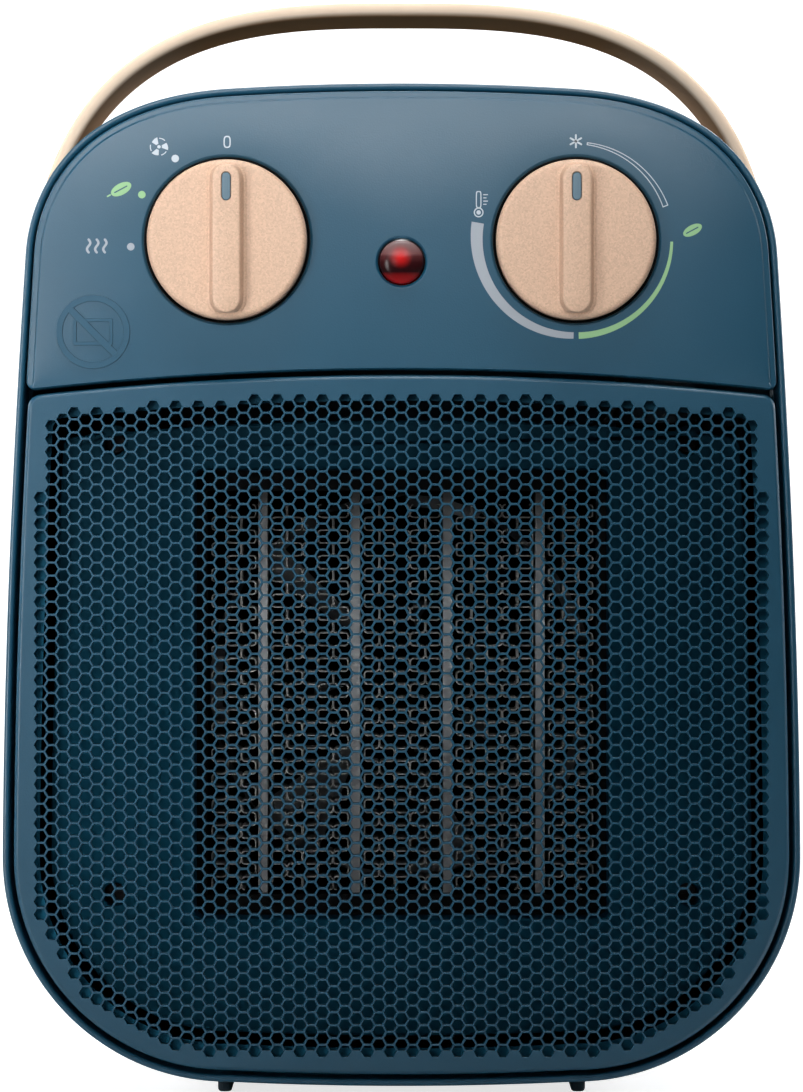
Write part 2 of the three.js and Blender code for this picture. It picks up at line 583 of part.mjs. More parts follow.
// A bridge across the rotor with a round bearing seat, in front of (way -1) or behind (way 1) the stator.
function motorBracket(way) {
  const near = way < 0 ? MOTOR.front - GAP : MOTOR.back + GAP;
  const [plate0, plate1] = [near, near + 2 * way].sort((a, b) => a - b);
  const [boss0, boss1] = [near, near + 4.95 * way].sort((a, b) => a - b);
  const bridge = slab(roundedBar(13, 40, 0, 0), plate0, plate1);
  const turnedBridge = bridge.rotate([0, 90, 0]).translate([0, 0, FAN.z]);
  return cut(join(turnedBridge, rod(5, boss0, boss1, 0, FAN.z, 14)), rod(MOTOR.shaftHole, 80, 120, 0, FAN.z));
}
const motorShaft = () => rod(MOTOR.shaft, FAN.front + 4.5, 112, 0, FAN.z);
const motorRotor = () =>
  cut(rod(MOTOR.rotor, MOTOR.front + 0.5, MOTOR.back - 0.5, 0, FAN.z, 20), rod(MOTOR.shaftHole, 80, 120, 0, FAN.z));

// ---------------------------------------------------------------- tip-over switch
const TIP = { base: 5.4, pivotZ: 26.4, bobZ: 14.4, halfWidth: 13, front: 46, back: 60 };
function tipSwitchCase() {
  const shell = cut(
    block(-TIP.halfWidth, TIP.halfWidth, TIP.front, TIP.back, TIP.base, TIP.base + 26),
    block(2 - TIP.halfWidth, TIP.halfWidth - 2, TIP.front - 1, TIP.back - 2, TIP.base + 2, TIP.base + 24),
  );
  return join(shell, rod(1, TIP.front, TIP.back - 1, 0, TIP.pivotZ, 8));
}
function tipSwitchPendulum() {
  const [front, back] = [TIP.front + 1, TIP.back - 3];
  const body = join(
    rod(2.6, front, back, 0, TIP.pivotZ),
    block(-1, 1, front + 2, back - 2, TIP.bobZ, TIP.pivotZ),
    rod(4.5, front, back, 0, TIP.bobZ, 14),
  );
  return cut(body, rod(1.35, front - 1, back + 1, 0, TIP.pivotZ, 8));
}

// ---------------------------------------------------------------- filter, gland, feet and wiring
function filterCover() {
  const { half, front, back, slots, slotHeight } = FILTER;
  let body = slab(rectangle(-half, half, WINDOW.z - half, WINDOW.z + half, 8), front, back);
  const step = (2 * FILTER.opening - 6) / slots;
  for (let i = 0; i < slots; i++) {
    const z = WINDOW.z - FILTER.opening + 3 + step * (i + 0.5);
    for (const [x0, x1] of [[-50, -2.5], [2.5, 50]]) {
      body = cut(body, block(x0, x1, front - 1, back + 1, z - slotHeight / 2, z + slotHeight / 2));
    }
  }
  return body;
}

function filterMesh() {
  const half = FILTER.opening - 0.5;
  const [front, back] = [121.6, FILTER.front - GAP];
  const cells = 4;
  const cell = (2 * half - 2) / cells;
  let body = block(-half, half, front, back, WINDOW.z - half, WINDOW.z + half);
  for (let i = 0; i < cells; i++) {
    for (let j = 0; j < cells; j++) {
      const [x, z] = [-half + 1 + i * cell, WINDOW.z - half + 1 + j * cell];
      body = cut(body, block(x + 1, x + cell - 1, front - 1, back + 1, z + 1, z + cell - 1));
    }
  }
  return body;
}

function cordGland() {
  const flange = BODY.depth + GAP;
  const body = join(
    rod(GLAND.sleeve, GLAND.inner, GLAND.outer, 0, GLAND.z, 18),
    rod(GLAND.flange, flange, flange + 2, 0, GLAND.z, 18),
  );
  return cut(body, rod(GLAND.bore, GLAND.inner - 1, GLAND.outer + 1, 0, GLAND.z, 18));
}

const foot = (x, depth) =>
  join(
    slab(rectangle(x - FOOT.width / 2, x + FOOT.width / 2, depth - FOOT.length / 2, depth + FOOT.length / 2, 1.6), 0, FOOT.top, {
      view: PLAN_VIEW,
    }),
    post(1.6, FOOT.top - 0.5, 8, x, depth, 8),
  );

function terminalBlock() {
  let body = block(-13, 13, 94, 108, 5.4, 16.4);
  for (const x of [-8, 0, 8]) body = cut(body, post(2.2, 11.4, 17, x, 101, 8));
  return body;
}

// A wire of six sides along a smooth curve through [x, depth, z] points.
function wire(points) {
  const path = new THREE.CatmullRomCurve3(points.map((p) => new THREE.Vector3(...p)));
  const section = new THREE.Shape();
  section.absarc(0, 0, 1.2, 0, 2 * Math.PI);
  return solid(new THREE.ExtrudeGeometry(section, { extrudePath: path, steps: 14, curveSegments: 3, bevelEnabled: false }));
}

// ---------------------------------------------------------------- assembly
add("rear_casing", rearCasing(), BLUE);
add("control_panel", controlPanel(), BLUE);
add("front_grille", frontGrille(), BLUE);
add("outlet_baffle", outletBaffle(), DEEP_BLUE);
[-BAFFLE_SCREW.x, BAFFLE_SCREW.x].forEach((x, i) =>
  BAFFLE_SCREW.z.forEach((z, j) => add(`baffle_screw_${2 * i + j + 1}`, screw(2.4, 1.3, 18.2, 1.8, 14, x, z), STEEL)),
);
REAR_SCREWS.forEach(([x, z], i) =>
  [-x, x].forEach((side, j) => add(`case_screw_${2 * i + j + 1}`, screw(3, 1.35, 123.65, 1.8, -20, side, z), STEEL)),
);

add("handle", handle(), PEACH);
for (const [name, side] of mirrorPair) add(`handle_pivot_${name}`, pivotPin(side), BLUE);

add("function_knob", knob(-KNOB.x), PEACH);
add("function_pointer", knobPointer(-KNOB.x), SLATE);
add("switch_shaft", knobShaft(-KNOB.x), STEEL);
add("rotary_switch", rotarySwitch(-KNOB.x), CREAM);
add("thermostat_knob", knob(KNOB.x), PEACH);
add("thermostat_pointer", knobPointer(KNOB.x), SLATE);
add("thermostat_shaft", knobShaft(KNOB.x), STEEL);
add("thermostat", thermostat(KNOB.x), CREAM);
add("control_plate", controlPlate(), STEEL);
add("plate_screw", screw(3, 1.25, 11.15, 1.5, -8, 0, CONTROL_PLATE.screw), STEEL);
add(
  "lamp_lens",
  turned([[0, 4], [6.4, 4], [6.4, 2.6], [LAMP.r, 2.6], [LAMP.r, -0.4], [3.6, -1.5], [0, -2]], 0, LAMP.z, 20),
  RED,
);
add("neon_lamp", join(rod(2.9, 5.6, 20, 0, LAMP.z), rod(2, 19, 23, 0, LAMP.z, 8)), GLASS);

add("heater_frame", ptcFrame(), BLACK);
const elementX = [-1.5, -0.5, 0.5, 1.5].map((k) => k * ELEMENT.pitch);
elementX.forEach((x, i) => add(`heating_element_${i + 1}`, ptcElement(x), ALUMINIUM));
const beside = ELEMENT.width / 2 + GAP;
const edge = PTC.inX - GAP;
add("fin_pack_1", finPack(-edge, elementX[0] - beside, -edge + 0.5), ALUMINIUM);
[0, 1, 2].forEach((i) =>
  add(`fin_pack_${i + 2}`, finPack(elementX[i] + beside, elementX[i + 1] - beside, elementX[i] + ELEMENT.pitch / 2), ALUMINIUM),
);
add("fin_pack_5", finPack(elementX[3] + beside, edge, edge - 0.5), ALUMINIUM);
add("heater_duct", heaterDuct(), BLACK);
add("thermal_cutout", thermalCutout(), CREAM);
add("thermal_fuse", thermalFuse(), CREAM);

add("fan_impeller", fanImpeller(), BLACK);
add("motor_shaft", motorShaft(), STEEL);
add("motor_rotor", motorRotor(), STEEL);
add("motor_stator", motorStator(), STEEL);
add("motor_coil", motorCoil(), COPPER);
add("motor_bracket_front", motorBracket(-1), STEEL);
add("motor_bracket_rear", motorBracket(1), STEEL);
add("motor_mount", motorMount(), STEEL);

add("tip_switch_case", tipSwitchCase(), BLACK);
add("tip_switch_pendulum", tipSwitchPendulum(), STEEL);
add("filter_cover", filterCover(), BLUE);
add("filter_mesh", filterMesh(), CLOTH);
add("cord_gland", cordGland(), BLACK);
add("terminal_block", terminalBlock(), CREAM);
for (const [name, side] of mirrorPair) {
  FOOT.depths.forEach((depth, i) => add(`foot_${["front", "rear"][i]}_${name}`, foot(side * FOOT.x, depth), RUBBER));
}
add(
  "supply_wire",
  wire([[-15, 101, 11], [-32, 100, 11], [-51, 95, 22], [-58, 84, 60], [-59, 60, 120], [-56, 48, 170], [-46, 44, 192], [-44, 39.6, 192]]),
  BLACK,
);
add("heater_wire", wire([[48, 24, 182], [52, 27, 172], [50, 32, 160], [42, 32, 156], [39, 32, 155.4]]), BLACK);

const heater = new THREE.Group();
heater.position.y = -MIDDLE;
for (const [name, [body, material]] of pieces) {
  const mesh = new THREE.Mesh(geometryOf(body), material);
  mesh.name = name;
  heater.add(mesh);
}
export default heater;
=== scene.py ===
# %% [markdown]
# # A compact ceramic fan heater
# The heater's solids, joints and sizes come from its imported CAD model, which is loaded first and never
# moved. This script makes the surfaces that are seen: smooth moulded shells, the fine grille, folded
# heater fins, knobs and handle, each as an array of points, and gives every piece a worked finish.

# %% Load the fixed frame
import json
import math

import bmesh
import bpy
import numpy as np
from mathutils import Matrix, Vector
from mathutils.geometry import delaunay_2d_cdt


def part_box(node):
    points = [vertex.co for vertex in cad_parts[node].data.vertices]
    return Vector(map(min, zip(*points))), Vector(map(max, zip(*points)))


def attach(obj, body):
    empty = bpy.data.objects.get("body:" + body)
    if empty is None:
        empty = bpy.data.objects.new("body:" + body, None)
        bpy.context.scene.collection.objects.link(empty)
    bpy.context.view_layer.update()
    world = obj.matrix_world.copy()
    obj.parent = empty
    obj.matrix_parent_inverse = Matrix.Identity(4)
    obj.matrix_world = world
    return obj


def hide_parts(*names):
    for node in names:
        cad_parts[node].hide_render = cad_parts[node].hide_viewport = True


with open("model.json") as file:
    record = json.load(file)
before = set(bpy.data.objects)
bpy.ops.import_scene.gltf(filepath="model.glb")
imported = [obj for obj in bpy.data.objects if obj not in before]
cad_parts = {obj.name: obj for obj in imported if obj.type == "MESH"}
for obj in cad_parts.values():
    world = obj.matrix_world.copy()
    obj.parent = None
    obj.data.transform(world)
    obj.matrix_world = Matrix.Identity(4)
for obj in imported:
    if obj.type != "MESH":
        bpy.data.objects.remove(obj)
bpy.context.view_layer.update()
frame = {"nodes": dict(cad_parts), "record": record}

# %% [markdown]
# ## Where things are
# Everything is drawn in millimetres as (x, depth, z): x to the right, depth measured backwards from the
# plane of the control panel, and z up from the table. The places of knobs, lamp, heater, pins and screws
# come from the CAD model's boxes, so the drawing can't drift away from it.

# %% Units and reference places
MM = 0.001
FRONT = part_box("control_panel")[0][1]  # the front plane's Y, in metres


def middle_of(node):
    """The centre of a node's box, as x, depth and z in millimetres."""
    low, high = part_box(node)
    x, y, z = (np.array(low) + np.array(high)) / 2
    return x / MM, (y - FRONT) / MM, z / MM


FUNCTION_X, _, KNOB_Z = middle_of("function_knob")
THERMOSTAT_X = middle_of("thermostat_knob")[0]
KNOBS = {"function": FUNCTION_X, "thermostat": THERMOSTAT_X}
LAMP_Z = middle_of("lamp_lens")[2]
HEATER_Z = middle_of("heater_frame")[2]
CORD_Z = middle_of("cord_gland")[2]
_, PIVOT_DEPTH, PIVOT_Z = middle_of("handle_pivot_left")
print("knobs at", round(FUNCTION_X, 2), round(THERMOSTAT_X, 2), "height", round(KNOB_Z, 2))

# %% [markdown]
# ## Camera
# The heater is seen almost straight on and from far away: a long lens at 1.2 m flattens the perspective,
# so the handle at the back is only a little smaller than it would be at the front.

# %% Camera
VIEW_DISTANCE = 1.2  # metres in front of the control panel
VIEW_HEIGHT = 0.1292
VIEWED_HEIGHT = 0.2555  # how much of the front plane the view takes in from bottom to top
camera_data = bpy.data.cameras.new("camera")
camera_data.sensor_width = 36
camera_data.lens = camera_data.sensor_width * VIEW_DISTANCE / VIEWED_HEIGHT
camera = bpy.data.objects.new("camera", camera_data)
camera.location = (0, FRONT - VIEW_DISTANCE, VIEW_HEIGHT)
camera.rotation_euler = (math.pi / 2, 0, 0)
bpy.context.collection.objects.link(camera)
bpy.context.scene.camera = camera
print("lens", round(camera_data.lens, 1), "mm")

# %% [markdown]
# ## Finishes
# Moulded plastic is never one flat colour: its skin has a fine spark-eroded grain that breaks up the
# highlights, and its colour and gloss drift a little over a hand's width. One node group makes both
# from two noises, and every plastic, metal and rubber here uses it with its own numbers.

# %% The shared surface group
GROUP_INPUTS = {"Color": (0.5, 0.5, 0.5, 1), "Drift": 0.1, "Roughness": 0.5, "Gloss Drift": 0.1,
                "Grain Scale": 2500.0, "Grain Depth": 0.1}


def shader_node(tree, kind, sockets=(), **settings):
    """A new node; each of its sockets gets a value, or a link from the output given for it."""
    node = tree.nodes.new(f"ShaderNode{kind}")
    for name, value in settings.items():
        setattr(node, name, value)
    for socket, value in dict(sockets).items():
        if isinstance(value, bpy.types.NodeSocket):
            tree.links.new(value, node.inputs[socket])
        else:
            node.inputs[socket].default_value = value
    return node


def math_node(tree, operation, *values):
    return shader_node(tree, "Math", enumerate(values), operation=operation).outputs[0]


def surface_group():
    """Colour and roughness drift on a broad noise; the normal follows a fine noise.
    colour * (1 + drift * w) and roughness + gloss drift * (w + fine), where w = 2 * broad - 1."""
    group = bpy.data.node_groups.new("moulded_surface", "ShaderNodeTree")
    for name, value in GROUP_INPUTS.items():
        kind = "NodeSocketColor" if name == "Color" else "NodeSocketFloat"
        group.interface.new_socket(name, in_out="INPUT", socket_type=kind).default_value = value
    for name, kind in (("Color", "Color"), ("Roughness", "Float"), ("Normal", "Vector")):
        group.interface.new_socket(name, in_out="OUTPUT", socket_type=f"NodeSocket{kind}")
    given = group.nodes.new("NodeGroupInput").outputs
    result = group.nodes.new("NodeGroupOutput").inputs
    place = shader_node(group, "TexCoord").outputs["Object"]
    broad = shader_node(group, "TexNoise", {"Vector": place, "Scale": 38, "Detail": 4}).outputs["Fac"]
    grain = {"Vector": place, "Scale": given["Grain Scale"], "Detail": 2}
    fine = shader_node(group, "TexNoise", grain).outputs["Fac"]
    wander = math_node(group, "MULTIPLY_ADD", broad, 2, -1)
    shade = math_node(group, "MULTIPLY_ADD", wander, given["Drift"], 1)
    shaded = shader_node(group, "VectorMath", {0: given["Color"], "Scale": shade}, operation="SCALE")
    spread = math_node(group, "MULTIPLY", math_node(group, "ADD", wander, fine), given["Gloss Drift"])
    gloss = math_node(group, "ADD", spread, given["Roughness"])
    bump = shader_node(group, "Bump", {"Height": fine, "Strength": given["Grain Depth"], "Distance": 0.0002})
    for socket, source in (("Color", shaded.outputs[0]), ("Roughness", gloss), ("Normal", bump.outputs[0])):
        group.links.new(source, result[socket])
    return group


SURFACE = surface_group()


def finish(name, color, roughness, drift=0.06, gloss_drift=0.05, grain=2500.0, depth=0.08, **shader):
    """A material whose colour, roughness and normal come from the shared group; shader sets other sockets."""
    material = bpy.data.materials.new(f"{name}_finish")
    material.use_nodes = True
    tree = material.node_tree
    principled = tree.nodes["Principled BSDF"]
    values = {"Color": (*color, 1), "Drift": drift, "Roughness": roughness, "Gloss Drift": gloss_drift,
              "Grain Scale": grain, "Grain Depth": depth}
    group = shader_node(tree, "Group")
    group.name, group.node_tree = "surface", SURFACE
    for socket, value in values.items():
        group.inputs[socket].default_value = value
    for output, socket in (("Color", "Base Color"), ("Roughness", "Roughness"), ("Normal", "Normal")):
        tree.links.new(group.outputs[output], principled.inputs[socket])
    for socket, value in shader.items():
        principled.inputs[socket.replace("_", " ")].default_value = value
    return material


def recolour(material, change):
    """Puts nodes between the group's colour and the shader: change(tree, colour) gives the new output."""
    tree = material.node_tree
    changed = change(tree, tree.nodes["surface"].outputs["Color"])
    tree.links.new(changed, tree.nodes["Principled BSDF"].inputs["Base Color"])
    return material


HOUSING_BLUE = (0.009, 0.071, 0.126)
BLUE = finish("housing_blue", HOUSING_BLUE, 0.33, depth=0.12)
PEACH_COLOR = (0.76, 0.60, 0.46)
finish("handle_peach", PEACH_COLOR, 0.6, depth=0.06, Specular_IOR_Level=0.03)
SLATE = finish("pointer_slate", (0.10, 0.17, 0.22), 0.5)
BLACK = finish("black_plastic", (0.006, 0.0065, 0.007), 0.7, Specular_IOR_Level=0.2)
finish("cream_plastic", (0.7, 0.66, 0.56), 0.55)
RUBBER = finish("foot_rubber", (0.010, 0.030, 0.045), 0.75, depth=0.2)
finish("wire_sleeve", (0.02, 0.02, 0.022), 0.5)
NET = finish("filter_net", (0.03, 0.032, 0.035), 0.85)
STEEL = finish("steel", (0.5, 0.51, 0.53), 0.38, Metallic=1.0)
BLACKED_STEEL = finish("blacked_steel", (0.035, 0.035, 0.038), 0.5, Metallic=1.0)
finish("aluminium", (0.80, 0.80, 0.80), 0.42, drift=0.15, depth=0.15, Metallic=0.35)
finish("copper_winding", (0.16, 0.06, 0.025), 0.45)
finish("lamp_glass", (0.95, 0.8, 0.7), 0.05, depth=0, Transmission_Weight=0.9)
WHITE_INK = finish("white_ink", (0.50, 0.57, 0.63), 0.5)
GREY_INK = finish("grey_ink", (0.33, 0.37, 0.42), 0.5)
GREEN_INK = finish("green_ink", (0.27, 0.50, 0.25), 0.5)
print(len(bpy.data.materials), "finishes")

# %% [markdown]
# The knobs are moulded in peach plastic loaded with fine metal flake. Noise would give soft clouds, but
# flakes have edges, so each one is a cell of a small Voronoi pattern with its own brightness. The cells
# only scale the plain colour a little, so the knobs glitter without looking dirty.


# %% Flaked finish for the knobs
def flecks(tree, color):
    """The colour times a share between 0.84 and 1.12 that is even inside each Voronoi cell."""
    place = shader_node(tree, "TexCoord").outputs["Object"]
    cells = shader_node(tree, "TexVoronoi", {"Vector": place, "Scale": 2600})
    share = shader_node(tree, "MapRange", {"Value": cells.outputs["Color"], "To Min": 0.84, "To Max": 1.12})
    shaded = shader_node(tree, "VectorMath", {0: color, "Scale": share.outputs[0]}, operation="SCALE")
    return shaded.outputs[0]


ROSE = recolour(finish("knob_rose", (0.64, 0.43, 0.305), 0.42, grain=3200.0, depth=0.22), flecks)

# %% [markdown]
# The plate behind the grille gets painted shade near its top, where the control panel and the thick end
# of the grille shade it, and it is a little darker towards its foot. The heating elements and fins get
# painted shade the same way: they fade into the dark at their tops, and they are dimmer at their feet.
# Lights could do this, but they would change the front too. Scaling the colours by the height does only this.


# %% Finishes with painted shade by height
def height_ramp(tree, low, high, stops):
    """A colour ramp up the object from one height to another, both in millimetres; stops are
    (share of the way, colour) pairs."""
    place = shader_node(tree, "TexCoord").outputs["Object"]
    height = shader_node(tree, "SeparateXYZ", {0: place}).outputs["Z"]
    share = shader_node(tree, "MapRange", {"Value": height, "From Min": low * MM, "From Max": high * MM})
    ramp = shader_node(tree, "ValToRGB", {"Fac": share.outputs[0]})
    marks = ramp.color_ramp.elements
    for _ in stops[2:]:
        marks.new(0.5)
    for mark, (share, color) in zip(marks, stops):
        mark.position, mark.color = share, (*color, 1)
    return ramp.outputs["Color"]


def painted_height_shade(name, color, roughness, shares, **details):
    """Painted shade by height: the colour times a share that follows the height through (height in
    millimetres, share) pairs.
    """
    low, high = shares[0][0], shares[-1][0]
    stops = [((level - low) / (high - low), (share, share, share)) for level, share in shares]

    def shaded(tree, plain):
        share = height_ramp(tree, low, high, stops)
        return shader_node(tree, "VectorMath", {0: plain, 1: share}, operation="MULTIPLY").outputs[0]

    return recolour(finish(name, color, roughness, **details), shaded)


BAFFLE_SHADE_SHARES = [(10, 0.75), (60, 1), (165, 0.3)]
ELEMENT_SHADE_SHARES = [(44, 0.45), (70, 0.55), (98, 1), (116, 1), (141, 0.06)]
FIN_SHADE_SHARES = [(44, 0.6), (80, 1), (118, 1), (139, 0.2)]
# Painted shade for the baffle plate and grille flange, the heating elements and the fins.
BAFFLE_BLUE_WITH_SHADE = painted_height_shade("baffle_blue", (0.006, 0.122, 0.212), 0.62, BAFFLE_SHADE_SHARES,
                     depth=0.12, Specular_IOR_Level=0.12)
ELEMENT_SKIN_WITH_SHADE = painted_height_shade("element_skin_with_shade", (0.95, 0.95, 0.95), 0.42, ELEMENT_SHADE_SHARES, drift=0.12)
DULL_ALUMINIUM_WITH_SHADE = painted_height_shade("dull_aluminium_with_shade", (0.72, 0.72, 0.70), 0.5, FIN_SHADE_SHARES, drift=0.3, Metallic=0.3)
DEEP_BLACK = finish("deep_black", (0.002, 0.002, 0.0025), 0.9, Specular_IOR_Level=0.05)

# %% [markdown]
# ## Making surfaces from arrays
# A moulded shell is a profile carried round an outline. `rows` does that for all points at once, and
# `Skin` gathers such grids with the flat caps between them. A cap is filled by a constrained Delaunay
# triangulation, which copes with any number of holes; triangles inside a hole are dropped by counting
# how many edges a ray from their middle crosses.


# %% Outlines
def circle(x, z, r, count=96):
    """Points centre + r (cos a, sin a), and the outward directions (cos a, sin a)."""
    angle = np.linspace(0, 2 * np.pi, count, endpoint=False)
    way = np.column_stack([np.cos(angle), np.sin(angle)])
    return np.array([x, z]) + r * way, way


def arc_loop(arcs, steps=10):
    """A closed outline of arcs (centre x, centre z, radius, first degree, last degree) joined by lines."""
    points, ways = [], []
    for x, z, r, first, last in arcs:
        angle = np.radians(np.linspace(first, last, steps))
        way = np.column_stack([np.cos(angle), np.sin(angle)])
        points.append(np.array([x, z]) + r * way)
        ways.append(way)
    return np.concatenate(points), np.concatenate(ways)


def stadium(x, z, width, length, steps=16):
    r, straight = width / 2, (length - width) / 2
    return arc_loop([(x, z + straight, r, 0, 180), (x, z - straight, r, 180, 360)], steps)


def rounded_rectangle(x0, x1, z0, z1, r, steps=8):
    corners = [(x1 - r, z0 + r, r, -90, 0), (x1 - r, z1 - r, r, 0, 90)]
    corners += [(x0 + r, z1 - r, r, 90, 180), (x0 + r, z0 + r, r, 180, 270)]
    return arc_loop(corners, steps)


def rows(loop, profile):
    """The loop moved inwards by each inset of the profile, at each depth: point - inset * outward way."""
    points, ways = loop
    profile = np.asarray(profile, float)
    flat = points[None] - ways[None] * profile[:, 0, None, None]
    depth = np.broadcast_to(profile[:, 1, None], flat.shape[:2])
    return np.stack([flat[..., 0], depth, flat[..., 1]], axis=-1)


def quarter(radius, inset, depth, steps=6):
    """A quarter-round from the side (inset, depth + radius) to the face (inset + radius, depth)."""
    angle = np.linspace(0, np.pi / 2, steps)
    return [(inset + radius * (1 - np.cos(a)), depth + radius * (1 - np.sin(a))) for a in angle]


def odd_crossings(points, a, b):
    """True for each point from which a ray to the right crosses an odd number of the edges a to b."""
    x, z = points[:, None, 0], points[:, None, 1]
    spans = (a[:, 1] > z) != (b[:, 1] > z)
    slope = (b[:, 0] - a[:, 0]) / np.where(spans, b[:, 1] - a[:, 1], 1)
    return (spans & (x < a[:, 0] + (z - a[:, 1]) * slope)).sum(axis=1) % 2 == 1


# %% Gathering grids and caps into one piece
class Skin:
    """The points and faces of one piece."""

    def __init__(self):
        self.points = []
        self.faces = []
        self.total = 0

    def add(self, points):
        index = self.total + np.arange(len(points))
        self.points.append(points)
        self.total += len(points)
        return index

    def grid(self, grid_rows, wrap=True):
        """Quads between neighbouring rows and columns of a (rows, columns, 3) array of points."""
        count, across = grid_rows.shape[:2]
        index = self.add(grid_rows.reshape(-1, 3)).reshape(count, across)
        here, there = (index, np.roll(index, -1, axis=1)) if wrap else (index[:, :-1], index[:, 1:])
        self.faces.append(np.stack([here[:-1], there[:-1], there[1:], here[1:]], axis=-1).reshape(-1, 4))
        return index

    def around(self, loop, profile):
        """The profile carried round the loop."""
        return self.grid(rows(loop, profile))

    def bridge(self, one, other):
        """Quads between two loops of existing points."""
        self.faces.append(np.stack([one, np.roll(one, -1), np.roll(other, -1), other], axis=-1))

    def cap(self, *loops):
        """Fills the flat region that the loops of point indices bound, holes left open."""
        ids = np.concatenate(loops)
        flat = np.concatenate(self.points)[ids][:, [0, 2]]
        starts = np.cumsum([0] + [len(loop) for loop in loops[:-1]])
        ends = [np.roll(np.arange(len(loop)), -1) + start for loop, start in zip(loops, starts)]
        ends = np.concatenate(ends)
        edges = np.column_stack([np.arange(len(ids)), ends])
        made = delaunay_2d_cdt([Vector(p) for p in flat], edges.tolist(), [], 0, 1e-6)
        source = np.array([origin[0] if origin else 0 for origin in made[3]])
        triangles = source[np.array([face for face in made[2] if len(face) == 3])]
        kept = odd_crossings(flat[triangles].mean(axis=1), flat, flat[ends])
        self.faces.append(ids[triangles[kept]])

    def fan(self, *loops):
        """Closes each small loop with triangles to its middle."""
        for loop in loops:
            middle = self.add(np.concatenate(self.points)[loop].mean(axis=0)[None])[0]
            self.faces.append(np.column_stack([loop, np.roll(loop, -1), np.full(len(loop), middle)]))


def in_metres(points):
    return np.column_stack([points[:, 0] * MM, FRONT + points[:, 1] * MM, points[:, 2] * MM])


def make_piece(name, skin, material, body="housing", replaces=None):
    """Turns a skin into an object at the origin, smooth but for edges sharper than 32 degrees."""
    mesh = bpy.data.meshes.new(name)
    faces = [face for block in skin.faces for face in block.tolist()]
    mesh.from_pydata(in_metres(np.concatenate(skin.points)), [], faces)
    mesh.validate()
    shape = bmesh.new()
    shape.from_mesh(mesh)
    bmesh.ops.remove_doubles(shape, verts=shape.verts, dist=1e-7)
    bmesh.ops.recalc_face_normals(shape, faces=shape.faces)
    open_edges = sum(1 for edge in shape.edges if len(edge.link_faces) != 2)
    shape.to_mesh(mesh)
    shape.free()
    mesh.shade_smooth()
    mesh.set_sharp_from_angle(angle=math.radians(32))
    mesh.materials.append(material)
    piece = bpy.data.objects.new(name, mesh)
    bpy.context.collection.objects.link(piece)
    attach(piece, body)
    if replaces:
        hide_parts(replaces)
    print(name, len(mesh.polygons), "faces", f"{open_edges} open edges" if open_edges else "closed")
    return piece

# %% [markdown]
# ## The body's outline
# Seen from the front the body is one closed line: a nearly flat base arch, big round base corners,
# sides that lean in a little, rounder shoulders and a crowned top. It could be a Bezier curve object, but
# as an array of points with outward ways it can be moved in, trimmed and reused by every front part. It
# is drawn once, for the right half, and mirrored. Towards the back everything narrows evenly, as the
# mould's draft needs.

# %% Body outline
BASE = 2.6
BASE_CORNER = (41, 56.3, 52.7)  # x, z, radius
SHOULDER = (49.8, 195.7, 38.6)
SHOULDER_FROM, SHOULDER_TO = math.radians(3.8), math.radians(60)
SIDE_BULGE = (93.4, 120)
CROWN, CROWN_BEND, TOP = (40, 236.9), (57.4, 235.9), 238.1
SPLIT_HEIGHT, SPLIT_RADIUS = 169.9, 780
BODY_DEPTH, NARROWING = 126, 0.1


def curve(a, bend, b, count):
    """Quadratic curve: (1-t)^2 a + 2t(1-t) bend + t^2 b, without its last point."""
    t = np.linspace(0, 1, count, endpoint=False)[:, None]
    return (1 - t) ** 2 * np.array(a) + 2 * t * (1 - t) * np.array(bend) + t**2 * np.array(b)


def body_outline():
    """Points anticlockwise from the middle of the base, and outward ways from the neighbours' chord."""
    x, z, r = BASE_CORNER
    sx, sz, sr = SHOULDER
    base_angle = np.linspace(-np.pi / 2, 0, 60, endpoint=False)
    shoulder_angle = np.linspace(SHOULDER_FROM, SHOULDER_TO, 32, endpoint=False)
    on_shoulder = lambda a: (sx + sr * np.cos(a), sz + sr * np.sin(a))
    half = np.concatenate([
        curve((0, BASE), (x / 2, BASE), (x, z - r), 24),
        np.column_stack([x + r * np.cos(base_angle), z + r * np.sin(base_angle)]),
        curve((x + r, z), SIDE_BULGE, on_shoulder(SHOULDER_FROM), 70),
        np.column_stack(on_shoulder(shoulder_angle)),
        curve(on_shoulder(SHOULDER_TO), CROWN_BEND, CROWN, 20),
        curve(CROWN, (CROWN[0] / 2, TOP), (0, TOP), 24),
        [(0, TOP)],
    ])
    points = np.concatenate([half, half[-2:0:-1] * [-1, 1]])
    along = np.roll(points, -1, axis=0) - np.roll(points, 1, axis=0)
    ways = np.column_stack([along[:, 1], -along[:, 0]])
    return points, ways / np.linalg.norm(ways, axis=1)[:, None]


OUTLINE = body_outline()


def narrowed(grid_rows):
    """Moves points towards the body's middle and base by the share lost at their depth."""
    scale = 1 - NARROWING * grid_rows[..., 1] / BODY_DEPTH
    moved = grid_rows.copy()
    moved[..., 0] *= scale
    moved[..., 2] = BASE + (moved[..., 2] - BASE) * scale
    return moved


print("outline points", len(OUTLINE[0]))

# %% [markdown]
# ## Rear casing
# The casing is one deep moulding. Its front edge shows as a narrow rounded rim all round the two front
# panels, and its rear edge has a large radius. A box with bevels would need a weight for every edge and
# a second one for its inside, so a profile is carried round the outline instead: it runs from the back
# over the side, round the rim and back down the inner wall. Two flat caps with the window, cord and
# screw holes close it.

# %% Rear casing
REAR_RADIUS, RIM_FRONT = 14, 1.5
INNER_WALL, INNER_BACK = 2.4, 121.6
WINDOW_HALF, SEAT_HALF, SEAT_DEPTH = 53, 59.7, 123.6


